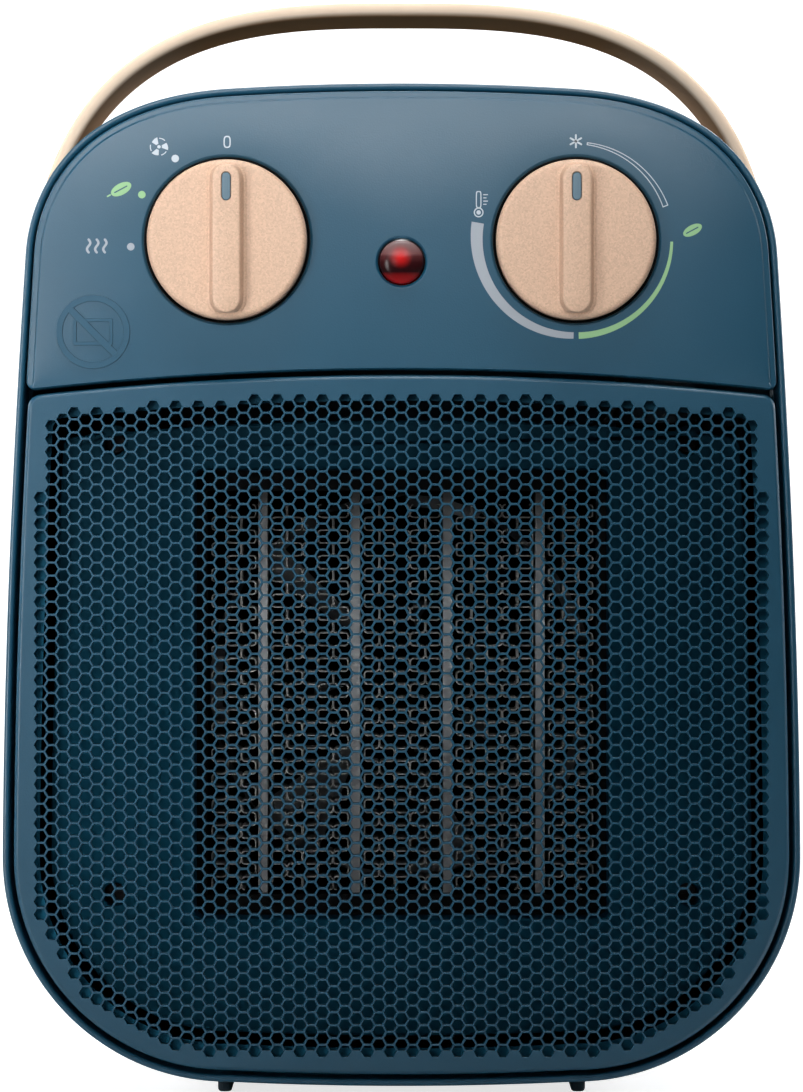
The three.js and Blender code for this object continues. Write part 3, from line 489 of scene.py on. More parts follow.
def rear_profile():
    fillet = np.linspace(np.pi / 2, 0, 14)
    back = [(REAR_RADIUS * (1 - math.cos(a)), BODY_DEPTH - REAR_RADIUS * (1 - math.sin(a))) for a in fillet]
    rim = [(0, 2.45), (0.06, 2.05), (0.22, 1.75), (0.45, 1.56), (0.75, RIM_FRONT), (1.0, RIM_FRONT)]
    rim += [(1.28, 1.58), (1.5, 1.8), (1.62, 2.15), (1.65, 2.6)]
    inner = [(1.65, 10.8), (INNER_WALL, 11.2), (INNER_WALL, 108), (6, 117), (REAR_RADIUS, INNER_BACK)]
    middle = [(0, depth) for depth in np.linspace(BODY_DEPTH - REAR_RADIUS, 2.45, 12)[1:-1]]
    return [(REAR_RADIUS + 0.3, BODY_DEPTH)] + back + middle + rim + inner


def square(half, r):
    return rounded_rectangle(-half, half, HEATER_Z - half, HEATER_Z + half, r)


skin = Skin()
shell = skin.grid(narrowed(rows(OUTLINE, rear_profile())))
seat = skin.around(square(SEAT_HALF, 8), [
    (-0.5, BODY_DEPTH), (-0.45, BODY_DEPTH), (-0.1, 125.85), (0, 125.4), (0, SEAT_DEPTH)])
window = skin.around(square(WINDOW_HALF, 2), [(0, SEAT_DEPTH), (0, INNER_BACK)])
skin.cap(seat[-1], window[0])
outer, inner = [shell[0], seat[0]], [shell[-1], window[-1]]
cord = skin.around(circle(0, CORD_Z, 5.9, 48), [(-0.3, BODY_DEPTH), (0, 125.7), (0, INNER_BACK)])
outer.append(cord[0])
inner.append(cord[-1])
for number in range(1, 5):
    x, _, z = middle_of(f"case_screw_{number}")
    pocket = skin.around(circle(x, z, 3.5, 40), [(-0.25, BODY_DEPTH), (0, 125.75), (0, 123.3)])
    hole = skin.around(circle(x, z, 1.9, 24), [(0, 123.3), (0, INNER_BACK)])
    skin.cap(pocket[-1], hole[0])
    outer.append(pocket[0])
    inner.append(hole[-1])
skin.cap(*outer)
skin.cap(*inner)
make_piece("casing_shell", skin, BLUE, replaces="rear_casing")

# %% [markdown]
# ## Panels that meet at the split
# The control panel and the grille share the body outline and meet along a shallow arc. `framed` trims
# the outline at that arc and rounds the two corners: it starts from a line one corner radius further in,
# and turns the outward way through the corner, so that moving out by the radius draws the round corner.


# %% Trimmed outlines
def framed(inset, side, margin, radius):
    """The closed base line of the part above (side 1) or below (side -1) the split arc."""
    points, ways = OUTLINE
    base = points - ways * (inset + radius)
    arc = lambda x: SPLIT_HEIGHT - x**2 / (2 * SPLIT_RADIUS) + side * (margin + radius)
    gap = side * (base[:, 1] - arc(base[:, 0]))
    first = int(np.flatnonzero((gap > 0) & (np.roll(gap, 1) <= 0))[0])
    base, ways, gap = (np.roll(a, -first, axis=0) for a in (base, ways, gap))
    kept = int((gap > 0).sum())
    before = base[-1] + (base[0] - base[-1]) * gap[-1] / (gap[-1] - gap[0])
    after = base[kept - 1] + (base[kept] - base[kept - 1]) * gap[kept - 1] / (gap[kept - 1] - gap[kept])
    x = np.linspace(after[0], before[0], 140)
    across = np.column_stack([x, arc(x)])
    arc_ways = -side * np.column_stack([x / SPLIT_RADIUS, np.ones_like(x)])
    arc_ways /= np.linalg.norm(arc_ways, axis=1)[:, None]

    def corner(point, one, other):
        """The way turned evenly from one direction to the other, at one point."""
        start = math.atan2(one[1], one[0])
        turn = (math.atan2(other[1], other[0]) - start) % (2 * np.pi)
        angle = start + turn * np.linspace(0, 1, 10)[1:-1]
        return np.tile(point, (len(angle), 1)), np.column_stack([np.cos(angle), np.sin(angle)])

    end_points, end_ways = corner(after, ways[kept - 1], arc_ways[0])
    start_points, start_ways = corner(before, arc_ways[-1], ways[0])
    line = np.concatenate([base[:kept], end_points, across, start_points])
    out = np.concatenate([ways[:kept], end_ways, arc_ways, start_ways])
    return line + out * radius, out

# %% [markdown]
# ## Control panel
# A thin shell with a stepped border: the outermost 1.6 mm sit slightly lower, and the small step up to
# the face catches the light as a fine line. Two round wells take the knobs, and the lamp's lens shows
# through the hole between them. Holes cut with booleans would leave slivers beside the step, so the
# wells' upper edges are loops that the flat face is filled up to, and every edge keeps its rounding.

# %% Control panel
PANEL_BORDER = [(0, 1.1), (0.05, 0.8), (0.18, 0.6), (0.36, 0.515), (0.5, 0.49), (1.28, 0.46), (1.36, 0.44)]
PANEL_BORDER += [(1.68, 0.08), (1.76, 0.02), (1.85, 0)]
PANEL_THICK = 2.2
WELL_RADIUS, WELL_WALL, WELL_FLOOR, WELL_UNDER = 19.45, 1.6, 5.4, 7
SHAFT_HOLE, LAMP_HOLE = 3.8, 5.5
WELL_EDGE = [(-0.72, 0), (-0.6, 0), (-0.55, 0.03), (-0.12, 0.45), (-0.04, 0.6), (0, 0.9)]

skin = Skin()
shape = framed(2.35, 1, 0.65, 1.9)
shell = rows(shape, [(1.8, PANEL_THICK), (1.8, 9), (0, 9)] + PANEL_BORDER)
at_split = np.clip((-shape[1][:, 1] - 0.75) / 0.2, 0, 1)  # there the border has no step
lifted = np.where((shell[..., 1] < 0.55) & (shell[..., 1] > 0), at_split, 0)
shell[..., 1] *= 1 - lifted
front = skin.grid(shell)
face, back = [front[-1]], [front[0]]
for x in KNOBS.values():
    well = skin.around(circle(x, KNOB_Z, WELL_RADIUS, 144), WELL_EDGE + [(0, WELL_FLOOR)])
    under = skin.around(circle(x, KNOB_Z, WELL_RADIUS + WELL_WALL, 144), [(0, PANEL_THICK), (0, WELL_UNDER)])
    hole = skin.around(circle(x, KNOB_Z, SHAFT_HOLE, 32), [(0, WELL_FLOOR), (0, WELL_UNDER)])
    skin.cap(well[-1], hole[0])
    skin.cap(under[-1], hole[-1])
    face.append(well[0])
    back.append(under[0])
lamp = skin.around(circle(0, LAMP_Z, LAMP_HOLE, 72), WELL_EDGE + [(0, PANEL_THICK)])
skin.cap(*face, lamp[0])
skin.cap(*back, lamp[-1])
make_piece("control_panel_face", skin, BLUE, replaces="control_panel")

# %% [markdown]
# A black ring stands in each well as painted shade: it keeps the narrow gap round a knob as dark as the
# shade in it. Painting the well's faces black would do too, but a ring of its own keeps the panel to one
# finish. Its section is an L: a sleeve against the well's wall and a washer on its floor.

# %% Black rings: painted shade in the wells
WELL_SHADE_RING = [(0.02, 0.8), (0.02, 5.38), (14.9, 5.38), (14.9, 5.08), (0.2, 5.05), (0.2, 0.8)]

for name, x in KNOBS.items():
    skin = Skin()
    ring = skin.around(circle(x, KNOB_Z, WELL_RADIUS, 144), WELL_SHADE_RING)
    skin.bridge(ring[-1], ring[0])
    make_piece(f"{name}_well_shade_ring", skin, BLACK)

# %% [markdown]
# ## Grille
# The grille is moulded in one piece: a rounded border, and inside it about three thousand hexagonal
# holes with walls less than half a millimetre thick. Cutting that many holes one by one would take
# minutes and an alpha pattern would have no thickness, so all cells are worked out together. Each is a
# hexagon of the lattice with three smaller rings inside it: the chamfer's edge, the hole's mouth and
# the hole's far end. Edges of the lattice that belong to only one cell bound the perforated field, and
# the border is filled up to them. A flange of the baffle's deeper blue half closes the outermost holes.

# %% Where the holes are
HOLE_PITCH = 3.05  # between holes, measured up the heater
LATTICE_FOOT = 9.4  # height of the lowest hole on the centre line
MESH_BACK = 2.3
HEX_RINGS = [(1, 0), (0.88, 0), (0.84, 0.08), (0.82, MESH_BACK), (1, MESH_BACK)]  # share of the cell, depth

column, row = np.meshgrid(np.arange(-34, 35), np.arange(0, 56), indexing="ij")
x = column * HOLE_PITCH * math.sqrt(3) / 2
z = LATTICE_FOOT + (row + 0.5 * (column % 2)) * HOLE_PITCH
centres = np.column_stack([x.ravel(), z.ravel()])
field = framed(6.9, -1, 5.6, 5.8)[0]
centres = centres[odd_crossings(centres, field, np.roll(field, -1, axis=0))]
print(len(centres), "holes")

# %% All cells at once, each corner shared by its neighbours
skin = Skin()
corner = np.radians(60 * np.arange(6))
hexagon = np.column_stack([np.cos(corner), np.sin(corner)]) * HOLE_PITCH / math.sqrt(3)
cell = np.array([[(x * share, depth, z * share) for x, z in hexagon] for share, depth in HEX_RINGS])
grid = cell[None] + np.stack([centres[:, 0], 0 * centres[:, 0], centres[:, 1]], axis=-1)[:, None, None]
keys = np.round(grid.reshape(-1, 3) * 200).astype(np.int64)
first, same = np.unique(keys, axis=0, return_index=True, return_inverse=True)[1:]
index = skin.add(grid.reshape(-1, 3)[first])[same.ravel()].reshape(grid.shape[:3])
around = np.roll(index, -1, axis=2)
quads = np.stack([index[:, :-1], around[:, :-1], around[:, 1:], index[:, 1:]], axis=-1)
skin.faces.append(quads.reshape(-1, 4))

# %% The perforated field's edge, in front and behind
borders = []
for ring in (0, -1):
    edges = np.stack([index[:, ring].ravel(), around[:, ring].ravel()], axis=-1)
    _, where, times = np.unique(np.sort(edges, axis=1), axis=0, return_index=True, return_counts=True)
    following = dict(edges[where[times == 1]].tolist())
    loop = [next(iter(following))]
    while following[loop[-1]] != loop[0]:
        loop.append(following[loop[-1]])
    borders.append(np.array(loop))

# %% Grille border and the flange behind it
shape = framed(2.95, -1, 0.65, 3.3)
profile = [(2.1, MESH_BACK), (2.1, 10), (0, 10)]
profile += [(0, 0.95), (0.04, 0.74), (0.14, 0.57), (0.54, 0.17), (0.7, 0.05), (0.88, 0), (1.05, 0)]
edge = skin.around(shape, profile)
skin.cap(edge[-1], borders[0])
skin.cap(edge[0], borders[1])
# The flange takes the baffle's finish, and with it the painted shade that darkens it towards its top.
flange = Skin()
outer, inner = (flange.around(loop, [(inset, MESH_BACK - 0.04), (inset, 3.2)])
                for loop, inset in ((shape, 0.4), (framed(8.9, -1, 6.6, 3), 0)))
flange.cap(outer[0], inner[0])
flange.cap(outer[1], inner[1])
make_piece("grille_flange", flange, BAFFLE_BLUE_WITH_SHADE)
make_piece("grille_mesh", skin, BLUE, replaces="front_grille")

# %% [markdown]
# ## Outlet baffle
# Behind the grille a flat plate closes the gap round the heater block. Its window has walls that lead
# back to the block, and four deep wells hide the screws. It is made as the panel is: each edge, window
# and well is a profile carried round its own outline, and two caps fill what is left between them.

# %% Outlet baffle
BAFFLE_FRONT, BAFFLE_BACK, TUNNEL_BACK = 10.3, 12.3, 20
SCREWS = [middle_of(f"baffle_screw_{number}") for number in range(1, 5)]
WINDOW = (-48.7, 48.7, HEATER_Z - 52.85, HEATER_Z + 52.85)

skin = Skin()
edge = skin.around(framed(11, -1, 11, 3),
                   [(0, BAFFLE_BACK)] + quarter(0.8, 0, BAFFLE_FRONT) + [(0.9, BAFFLE_FRONT)])
tunnel = skin.around(rounded_rectangle(*WINDOW, 2), [
    (-0.9, BAFFLE_FRONT), (-0.8, BAFFLE_FRONT), (-0.3, BAFFLE_FRONT + 0.25), (0, BAFFLE_FRONT + 0.9),
    (0, TUNNEL_BACK), (-1.8, TUNNEL_BACK), (-1.8, BAFFLE_BACK)])
face, back = [edge[-1], tunnel[0]], [edge[0], tunnel[-1]]
for x, _, z in SCREWS:
    well = skin.around(circle(x, z, 2.75, 40), [(-0.3, BAFFLE_FRONT), (0, BAFFLE_FRONT + 0.3), (0, 18.5)])
    under = skin.around(circle(x, z, 4.2, 40), [(0, BAFFLE_BACK), (0, 20.4)])
    hole = skin.around(circle(x, z, 1.7, 24), [(0, 18.5), (0, 20.4)])
    skin.cap(well[-1], hole[0])
    skin.cap(under[-1], hole[-1])
    face.append(well[0])
    back.append(under[0])
skin.cap(*face)
skin.cap(*back)
make_piece("baffle_plate", skin, BAFFLE_BLUE_WITH_SHADE, replaces="outlet_baffle")

# %% [markdown]
# ## Folded fins
# Between the heating elements lie banks of folded aluminium strip, several strips side by side. A strip
# runs level for its width, turns up a small round corner, and runs back one row higher, over and over.
# Neighbouring strips are folded the opposite way, so their turns touch and the bank looks like
# brickwork. A bump pattern would look flat through the holes of the grille, so the strips are real: each
# is that path given a thickness to both sides and a depth.

# %% Fin banks
ROW = 3.06
STRIP_THICK, TURN_RADIUS = 0.28, 0.75
FIN_FRONT, FIN_BACK = 22.2, 38.2


def folded_strip(skin, x0, x1, low, high, first_side):
    """A level run on every row; two quarter circles join it to the next row at alternate ends."""
    r = TURN_RADIUS
    rise = np.linspace(0, np.pi / 2, 5)
    lower = np.column_stack([-r + r * np.sin(rise), r - r * np.cos(rise)])
    upper = np.column_stack([-r + r * np.cos(rise), ROW - r + r * np.sin(rise)])
    turn = np.concatenate([lower, upper])
    runs = int((high - low) / ROW)
    sides = (np.arange(runs) + first_side) % 2
    ends = np.where(sides, x1, x0)[:, None]
    x = ends + np.where(sides, 1, -1)[:, None] * turn[:, 0]
    z = low + ROW * np.arange(runs)[:, None] + turn[:, 1]
    path = np.column_stack([x.ravel(), z.ravel()])
    along = np.gradient(path, axis=0)
    across = np.column_stack([-along[:, 1], along[:, 0]])
    across *= STRIP_THICK / 2 / np.linalg.norm(across, axis=1)[:, None]
    corners = [(path - across, FIN_FRONT), (path + across, FIN_FRONT)]
    corners += [(path + across, FIN_BACK), (path - across, FIN_BACK)]
    grid = np.stack([np.column_stack([p[:, 0], np.full(len(p), d), p[:, 1]]) for p, d in corners], axis=1)
    index = skin.grid(grid)
    skin.faces.append(index[[0, -1]])


def plate(skin, x0, x1, d0, d1, z0, z1):
    r = min(0.2, (x1 - x0) / 2.01, (z1 - z0) / 2.01)
    index = skin.around(rounded_rectangle(x0, x1, z0, z1, r, 3), [(r / 2, d0), (0, d0 + r / 2), (0, d1)])
    skin.fan(index[0], index[-1])


# The fins' finish carries painted shade, darker towards their top, and is dimmer towards their foot.
for number in range(1, 6):
    node = f"fin_pack_{number}"
    low, high = (np.array(corner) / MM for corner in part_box(node))
    strips = 5 if high[0] - low[0] > 15 else 3
    edges = np.linspace(low[0] + 0.6, high[0] - 0.2, strips + 1)
    skin = Skin()
    for strip in range(strips):
        folded_strip(skin, edges[strip] + 0.1, edges[strip + 1] - 0.1, low[2] + 0.3, high[2] - 0.3, strip)
    make_piece(f"folded_fins_{number}", skin, DULL_ALUMINIUM_WITH_SHADE, replaces=node)

# %% [markdown]
# ## Knobs
# A knob is a disc with a softly rounded edge and a straight grip across it. A grip joined on with a
# boolean would meet the face in a hard crease. Here it is a stadium-shaped profile that sweeps up out of
# the face through a small fillet and rounds over at the top, where a slot holds the slate pointer.
# Where the fillet would run past the disc it is drawn in to the disc's edge.

# %% Knobs and pointers
KNOB_RADIUS, KNOB_FACE, GRIP_TOP = 18.7, -4.0, -7.5
GRIP_WIDTH, GRIP_LENGTH = 6.8, 34.6
POINTER_WIDTH, POINTER_LENGTH, POINTER_RISE = 2.05, 6.5, 12.1
DISC = [(1.6, 4.9), (0.5, 4.8), (0, 4.2), (0, -2.4)]
DISC += [(1.3 * (1 - math.cos(a)), KNOB_FACE + 1.5 * (1 - math.sin(a)))
         for a in np.linspace(0.1, np.pi / 2, 9)]
DISC += [(1.4, KNOB_FACE)]
GRIP = [(-1.25, KNOB_FACE), (-1.2, -4.06), (-1.08, -4.22), (-0.98, -4.28), (-0.78, -4.3), (-0.62, -4.36)]
GRIP += [(-0.5, -4.55), (-0.44, -4.85), (0, -6.75), (0.06, -7.05), (0.2, -7.3), (0.38, -7.44)]
GRIP += [(0.6, GRIP_TOP)]
SLOT = [(-0.1, GRIP_TOP), (0, GRIP_TOP + 0.1), (0, GRIP_TOP + 1.2)]
INLAY = [(0, GRIP_TOP + 1.1), (0, GRIP_TOP + 0.25), (0.12, GRIP_TOP + 0.12), (0.3, GRIP_TOP + 0.1)]

for name, x in KNOBS.items():
    skin = Skin()
    disc = skin.around(circle(x, KNOB_Z, KNOB_RADIUS, 160), DISC)
    grip_rows = rows(stadium(x, KNOB_Z, GRIP_WIDTH, GRIP_LENGTH, 24), GRIP)
    across = grip_rows[..., [0, 2]] - [x, KNOB_Z]
    reach = np.linalg.norm(across, axis=-1, keepdims=True)
    drawn_in = across * np.minimum(1, (KNOB_RADIUS - 1.45) / reach)
    grip_rows[..., [0, 2]] = np.array([x, KNOB_Z]) + drawn_in
    grip = skin.grid(grip_rows)
    mark = x, KNOB_Z + POINTER_RISE
    slot = skin.around(stadium(*mark, POINTER_WIDTH + 0.3, POINTER_LENGTH + 0.3, 12), SLOT)
    skin.cap(disc[-1], grip[0])
    skin.cap(grip[-1], slot[0])
    skin.fan(slot[-1], disc[0])
    make_piece(f"{name}_dial", skin, ROSE, body=f"{name}_control", replaces=f"{name}_knob")
    skin = Skin()
    inlay = skin.around(stadium(*mark, POINTER_WIDTH, POINTER_LENGTH, 12), INLAY)
    skin.fan(inlay[0], inlay[-1])
    make_piece(f"{name}_mark", skin, SLATE, body=f"{name}_control", replaces=f"{name}_pointer")

# %% [markdown]
# ## Handle
# The handle is one wide strap bent into an arch. Its outer line is a superellipse, flatter on top than a
# half circle and with straight legs below. A bevelled curve could widen only by getting thicker too, but
# each leg widens downwards alone and ends in a half circle round its pivot. So the strap's section, a
# rounded rectangle, is carried along the line with a width for each row. The inside of the strap, close
# to the body, gets painted shade: an attribute marks it, 0 outside and 1 inside, and the finish mixes
# towards brown there.

# %% Handle
ARCH_HALF, ARCH_RISE, ARCH_SPRING, ARCH_POWER = 92, 93.9, 168, 2.95
STRAP_THICK = 3.4
LEG_HALF, TOP_HALF, TOP_FROM = 18, 15.5, 215


def inner_painted_shade(tree, plain):
    """Painted shade: the plain colour, mixed towards brown by the piece's own attribute."""
    mask = shader_node(tree, "Attribute", attribute_name="inner").outputs["Fac"]
    colors = {"Factor": mask, "A": plain, "B": (0.20, 0.10, 0.045, 1)}
    return shader_node(tree, "Mix", colors, data_type="RGBA").outputs["Result"]


HANDLE_PEACH = recolour(finish("strap_peach", PEACH_COLOR, 0.6, depth=0.06, Specular_IOR_Level=0.0), inner_painted_shade)


def arch_line(step=1.4):
    """|x/a|^n + |(z-z0)/b|^n = 1 above the spring line, straight legs below, at even steps along it."""
    angle = np.linspace(0, np.pi, 3000)
    bend = 2 / ARCH_POWER
    x = ARCH_HALF * np.sign(np.cos(angle)) * np.abs(np.cos(angle)) ** bend
    z = ARCH_SPRING + ARCH_RISE * np.abs(np.sin(angle)) ** bend
    foot = PIVOT_Z - LEG_HALF + 0.02
    line = np.concatenate([[(ARCH_HALF, foot)], np.column_stack([x, z]), [(-ARCH_HALF, foot)]])
    length = np.concatenate([[0], np.cumsum(np.linalg.norm(np.diff(line, axis=0), axis=1))])
    near_end = 6 * (1 - np.cos(np.linspace(0, np.pi / 2, 10)))  # closer rows where the leg ends round
    even = np.concatenate([near_end[:-1], np.arange(6, length[-1] - 6, step), length[-1] - near_end[::-1]])
    points = np.column_stack([np.interp(even, length, line[:, i]) for i in (0, 1)])
    along = np.gradient(points, axis=0)
    ways = np.column_stack([along[:, 1], -along[:, 0]])
    return points, ways / np.linalg.norm(ways, axis=1)[:, None]


def strap_section(steps=7):
    """Share of the half width, and distance in from the outer face, round a rounded rectangle."""
    r = 1.66
    corners = [(1, r, -90), (1, STRAP_THICK - r, 0), (-1, STRAP_THICK - r, 90), (-1, r, 180)]
    section = []
    for side, inward, first in corners:
        for angle in np.radians(np.linspace(first, first + 90, steps)):
            section.append((side, r * math.cos(angle), inward + r * math.sin(angle)))
    return np.array(section), r


points, ways = arch_line()
section, r = strap_section()
z = points[:, 1]
half = np.interp(z, [PIVOT_Z, TOP_FROM], [LEG_HALF, TOP_HALF])
half = np.where(z < PIVOT_Z, np.sqrt(np.maximum(LEG_HALF**2 - (PIVOT_Z - z) ** 2, 0.04)), half)
squeeze = np.minimum(1, half / (2 * r))
width = section[None, :, 0] * (half - r * squeeze)[:, None] + section[None, :, 1] * squeeze[:, None]
flat = points[:, None] - ways[:, None] * section[None, :, 2, None]
skin = Skin()
index = skin.grid(np.stack([flat[..., 0], PIVOT_DEPTH + width, flat[..., 1]], axis=-1))
skin.faces.append(index[[0, -1]])
piece = make_piece("carry_handle", skin, HANDLE_PEACH, "handle", "handle")
place = np.empty(len(piece.data.vertices) * 3)
piece.data.vertices.foreach_get("co", place)
x, _, z = (place.reshape(-1, 3) / MM).T
# The mask of the painted shade: 1 on the strap's inside, 0 on its outside.
above = np.maximum(z - ARCH_SPRING, 0)
share = ((np.abs(x) / ARCH_HALF) ** ARCH_POWER + (above / ARCH_RISE) ** ARCH_POWER) ** (1 / ARCH_POWER)
inner = piece.data.attributes.new("inner", "FLOAT", "POINT")
inner.data.foreach_set("value", np.clip((0.976 - share) / 0.010, 0, 1))

# %% [markdown]
# ## Turned pieces
# Pins, bosses, the lamp's lens and the cord outlet are all round. Cylinders with bevels would do for the
# plain ones, but a profile of radius and distance, turned about the depth or the width of the heater,
# draws domes, shoulders and rounded ends in the same way.


# %% Turned profiles
def turned(skin, profile, place, axis="depth", count=64):
    """Rings of the profile's (radius, distance) about an axis through place; both ends are closed."""
    x, depth, z = place
    if axis == "depth":
        grid = rows(circle(x, z, 0, count), [(-radius, depth + run) for radius, run in profile])
    else:
        grid = rows(circle(depth, z, 0, count), [(-radius, x + run) for radius, run in profile])
        grid = grid[..., [1, 0, 2]]
    index = skin.grid(grid)
    skin.fan(index[0], index[-1])


def rounded_end(radius, start, height):
    """A disc edge rounded over: (radius, distance) pairs from the side at start to start + height."""
    angles = np.linspace(0, np.pi / 2, 6)
    return [(radius - abs(height) * (1 - math.cos(a)), start + height * math.sin(a)) for a in angles]


# %% Handle pivots
PIVOT = (0, PIVOT_DEPTH, PIVOT_Z)
for side, name in ((-1, "left"), (1, "right")):
    boss, pin = Skin(), Skin()
    turned(boss, [(10, side * 82.6)] + rounded_end(10, side * 87.55, side * 0.6), PIVOT, "width")
    make_piece(f"pivot_boss_{name}", boss, BLUE)
    head = rounded_end(7, side * 92.8, side * 0.8)
    turned(pin, [(4, side * 80), (4, side * 91.9), (7, side * 91.9)] + head, PIVOT, "width")
    make_piece(f"pivot_pin_{name}", pin, BLUE, replaces=f"handle_pivot_{name}")

# %% [markdown]
# ## Pilot lamp
# The lens is a low dome of red plastic over a dark pocket. Real clear plastic would need the pocket and
# the neon behind it to be modelled and many more light paths. Here an opaque dome has its light painted
# on: a ramp from dark red to pale runs up the lens as painted reflections, ending in a white painted
# highlight at the top, and a painted red glow fades out from its middle.

# %% Lens
LENS_RADIUS, LENS_TOP = 5.15, -2.0
GLOW_RISE, GLOW_REACH, GLOW_RED = 1.1, 3.1, (0.52, 0.008, 0.008, 1)
LENS_PAINTED_BANDS = [  # share of the way from the bottom edge to the top edge, and the colour there
    (0.03, (0.26, 0.003, 0.005)), (0.19, (0.14, 0.002, 0.003)), (0.27, (0.012, 0.001, 0.002)),
    (0.48, (0.030, 0.005, 0.006)), (0.62, (0.07, 0.018, 0.02)), (0.68, (0.15, 0.065, 0.065)),
    (0.97, (0.20, 0.14, 0.14)), (1, (1, 1, 1)),
]


def painted_lens_light(tree, _):
    """Painted reflections as bands of colour up the lens, and a painted red glow: glow = 1 - distance from
    its centre / its radius.
    """
    bands = height_ramp(tree, LAMP_Z - LENS_RADIUS, LAMP_Z + LENS_RADIUS, LENS_PAINTED_BANDS)
    place = shader_node(tree, "TexCoord").outputs["Object"]
    glow_middle = (0.0002, 0, -(LAMP_Z + GLOW_RISE) * MM)
    centred = shader_node(tree, "Mapping", {"Vector": place, "Location": glow_middle})
    across = shader_node(tree, "VectorMath", {0: centred.outputs[0], 1: (1, 0, 1)}, operation="MULTIPLY")
    reach = shader_node(tree, "VectorMath", {0: across.outputs[0]}, operation="LENGTH").outputs["Value"]
    fade = {"Value": reach, "From Max": GLOW_REACH * MM, "To Min": 1, "To Max": 0}
    glow = shader_node(tree, "MapRange", fade, interpolation_type="SMOOTHSTEP").outputs[0]
    mixed = shader_node(tree, "Mix", {"Factor": glow, "A": bands, "B": GLOW_RED}, data_type="RGBA")
    return mixed.outputs["Result"]


LENS = finish("lens_red", (0.1, 0.004, 0.005), 0.2, depth=0, gloss_drift=0, Specular_IOR_Level=0.15)
lens = Skin()
dome = [(LENS_RADIUS * math.cos(a), LENS_TOP * math.sin(a)) for a in np.linspace(0, np.pi / 2, 14)[:-1]]
turned(lens, [(6.4, 4), (6.4, 2.6), (LENS_RADIUS, 2.6)] + dome + [(0.05, LENS_TOP)], (0, 0, LAMP_Z), count=72)
make_piece("pilot_lens", lens, recolour(LENS, painted_lens_light), replaces="lamp_lens")

# %% [markdown]
# ## Feet, cord outlet, filter and screws
# The small parts on the underside and the back are rubber feet, the sleeve that the mains cord leaves
# by, the slotted cover of the dust filter with its net, and screws with a cross recess. Each could be
# built from primitives and booleans, but all of them are profiles round small outlines, so the functions
# that drew the big shells draw them too and leave no loose edges.

# %% Feet
FOOT_WIDTH, FOOT_LENGTH = 3.4, 20
FOOT = [(0.95, 0.0), (0.5, 0.06), (0.18, 0.28), (0.03, 0.65), (0, 1.1), (0, 2.6), (0, 7.5)]

for place in ("front_left", "front_right", "rear_left", "rear_right"):
    x, depth, _ = middle_of(f"foot_{place}")
    skin = Skin()
    index = skin.grid(rows(stadium(x, depth, FOOT_WIDTH, FOOT_LENGTH, 14), FOOT)[..., [0, 2, 1]])
    skin.fan(index[0], index[-1])
    make_piece(f"pad_{place}", skin, RUBBER, replaces=f"foot_{place}")

# %% Cord outlet
skin = Skin()
SLEEVE, BORE = 5.5, 3.6
profile = [(BORE, 112), (SLEEVE, 112), (SLEEVE, 126.35), (7.6, 126.35), (8, 126.75), (8, 127.6)]
profile += [(7.3, 128.35), (6.2, 128.5), (SLEEVE, 129)] + rounded_end(SLEEVE, 132.2, 0.8)
profile += [(BORE + 0.3, 133), (BORE, 132.6)]
index = skin.around(circle(0, CORD_Z, 0, 56), [(-radius, depth) for radius, depth in profile])
skin.bridge(index[-1], index[0])
make_piece("cord_outlet", skin, BLACK, replaces="cord_gland")

# %% Filter cover and net
COVER_HALF, COVER_FRONT, COVER_BACK = 59.3, 123.9, 127.1
SLOTS, SLOT_HEIGHT = 15, 3.4

skin = Skin()
rim = [(0, COVER_FRONT), (0, 126.2), (0.12, 126.65), (0.42, 126.98), (0.9, COVER_BACK), (1, COVER_BACK)]
edge = skin.around(square(COVER_HALF, 7.6), rim)
front, back = [edge[0]], [edge[-1]]
step = 2 * (WINDOW_HALF - 3) / SLOTS
for number in range(SLOTS):
    z = HEATER_Z - WINDOW_HALF + 3 + step * (number + 0.5)
    for x0, x1 in ((-50, -2.5), (2.5, 50)):
        slot = rounded_rectangle(x0, x1, z - SLOT_HEIGHT / 2, z + SLOT_HEIGHT / 2, 1.6, 5)
        opening = skin.around(slot, [(0, COVER_FRONT), (0, 126.6), (-0.15, 126.95), (-0.4, COVER_BACK)])
        front.append(opening[0])
        back.append(opening[-1])
skin.cap(*front)
skin.cap(*back)
make_piece("filter_lid", skin, BLUE, body="dust_filter", replaces="filter_cover")

# %% Filter net over its felt
NET_PITCH, NET_THICK = 2.5, 0.5
half, thick = WINDOW_HALF - 0.6, NET_THICK / 2

skin = Skin()
plate(skin, -52.6, 52.6, 121.7, 122.1, HEATER_Z - 52.6, HEATER_Z + 52.6)
for place in np.linspace(-half + 0.3, half - 0.3, int(2 * half / NET_PITCH) + 1):
    plate(skin, place - thick, place + thick, 122.2, 122.7, HEATER_Z - half, HEATER_Z + half)
    plate(skin, -half, half, 122.5, 123, HEATER_Z + place - thick, HEATER_Z + place + thick)
make_piece("filter_netting", skin, NET, body="dust_filter", replaces="filter_mesh")


# %% Screws with a cross recess
def cross(x, z, long, short):
    """Twelve corners of a plus sign, anticlockwise."""
    quarter_turn = [(long, -short), (long, short), (short, short)]
    turns = ((1, 0), (0, 1), (-1, 0), (0, -1))
    corners = [(a * c - b * s, a * s + b * c) for c, s in turns for a, b in quarter_turn]
    points = np.array(corners) + [x, z]
    return points, np.zeros_like(points)


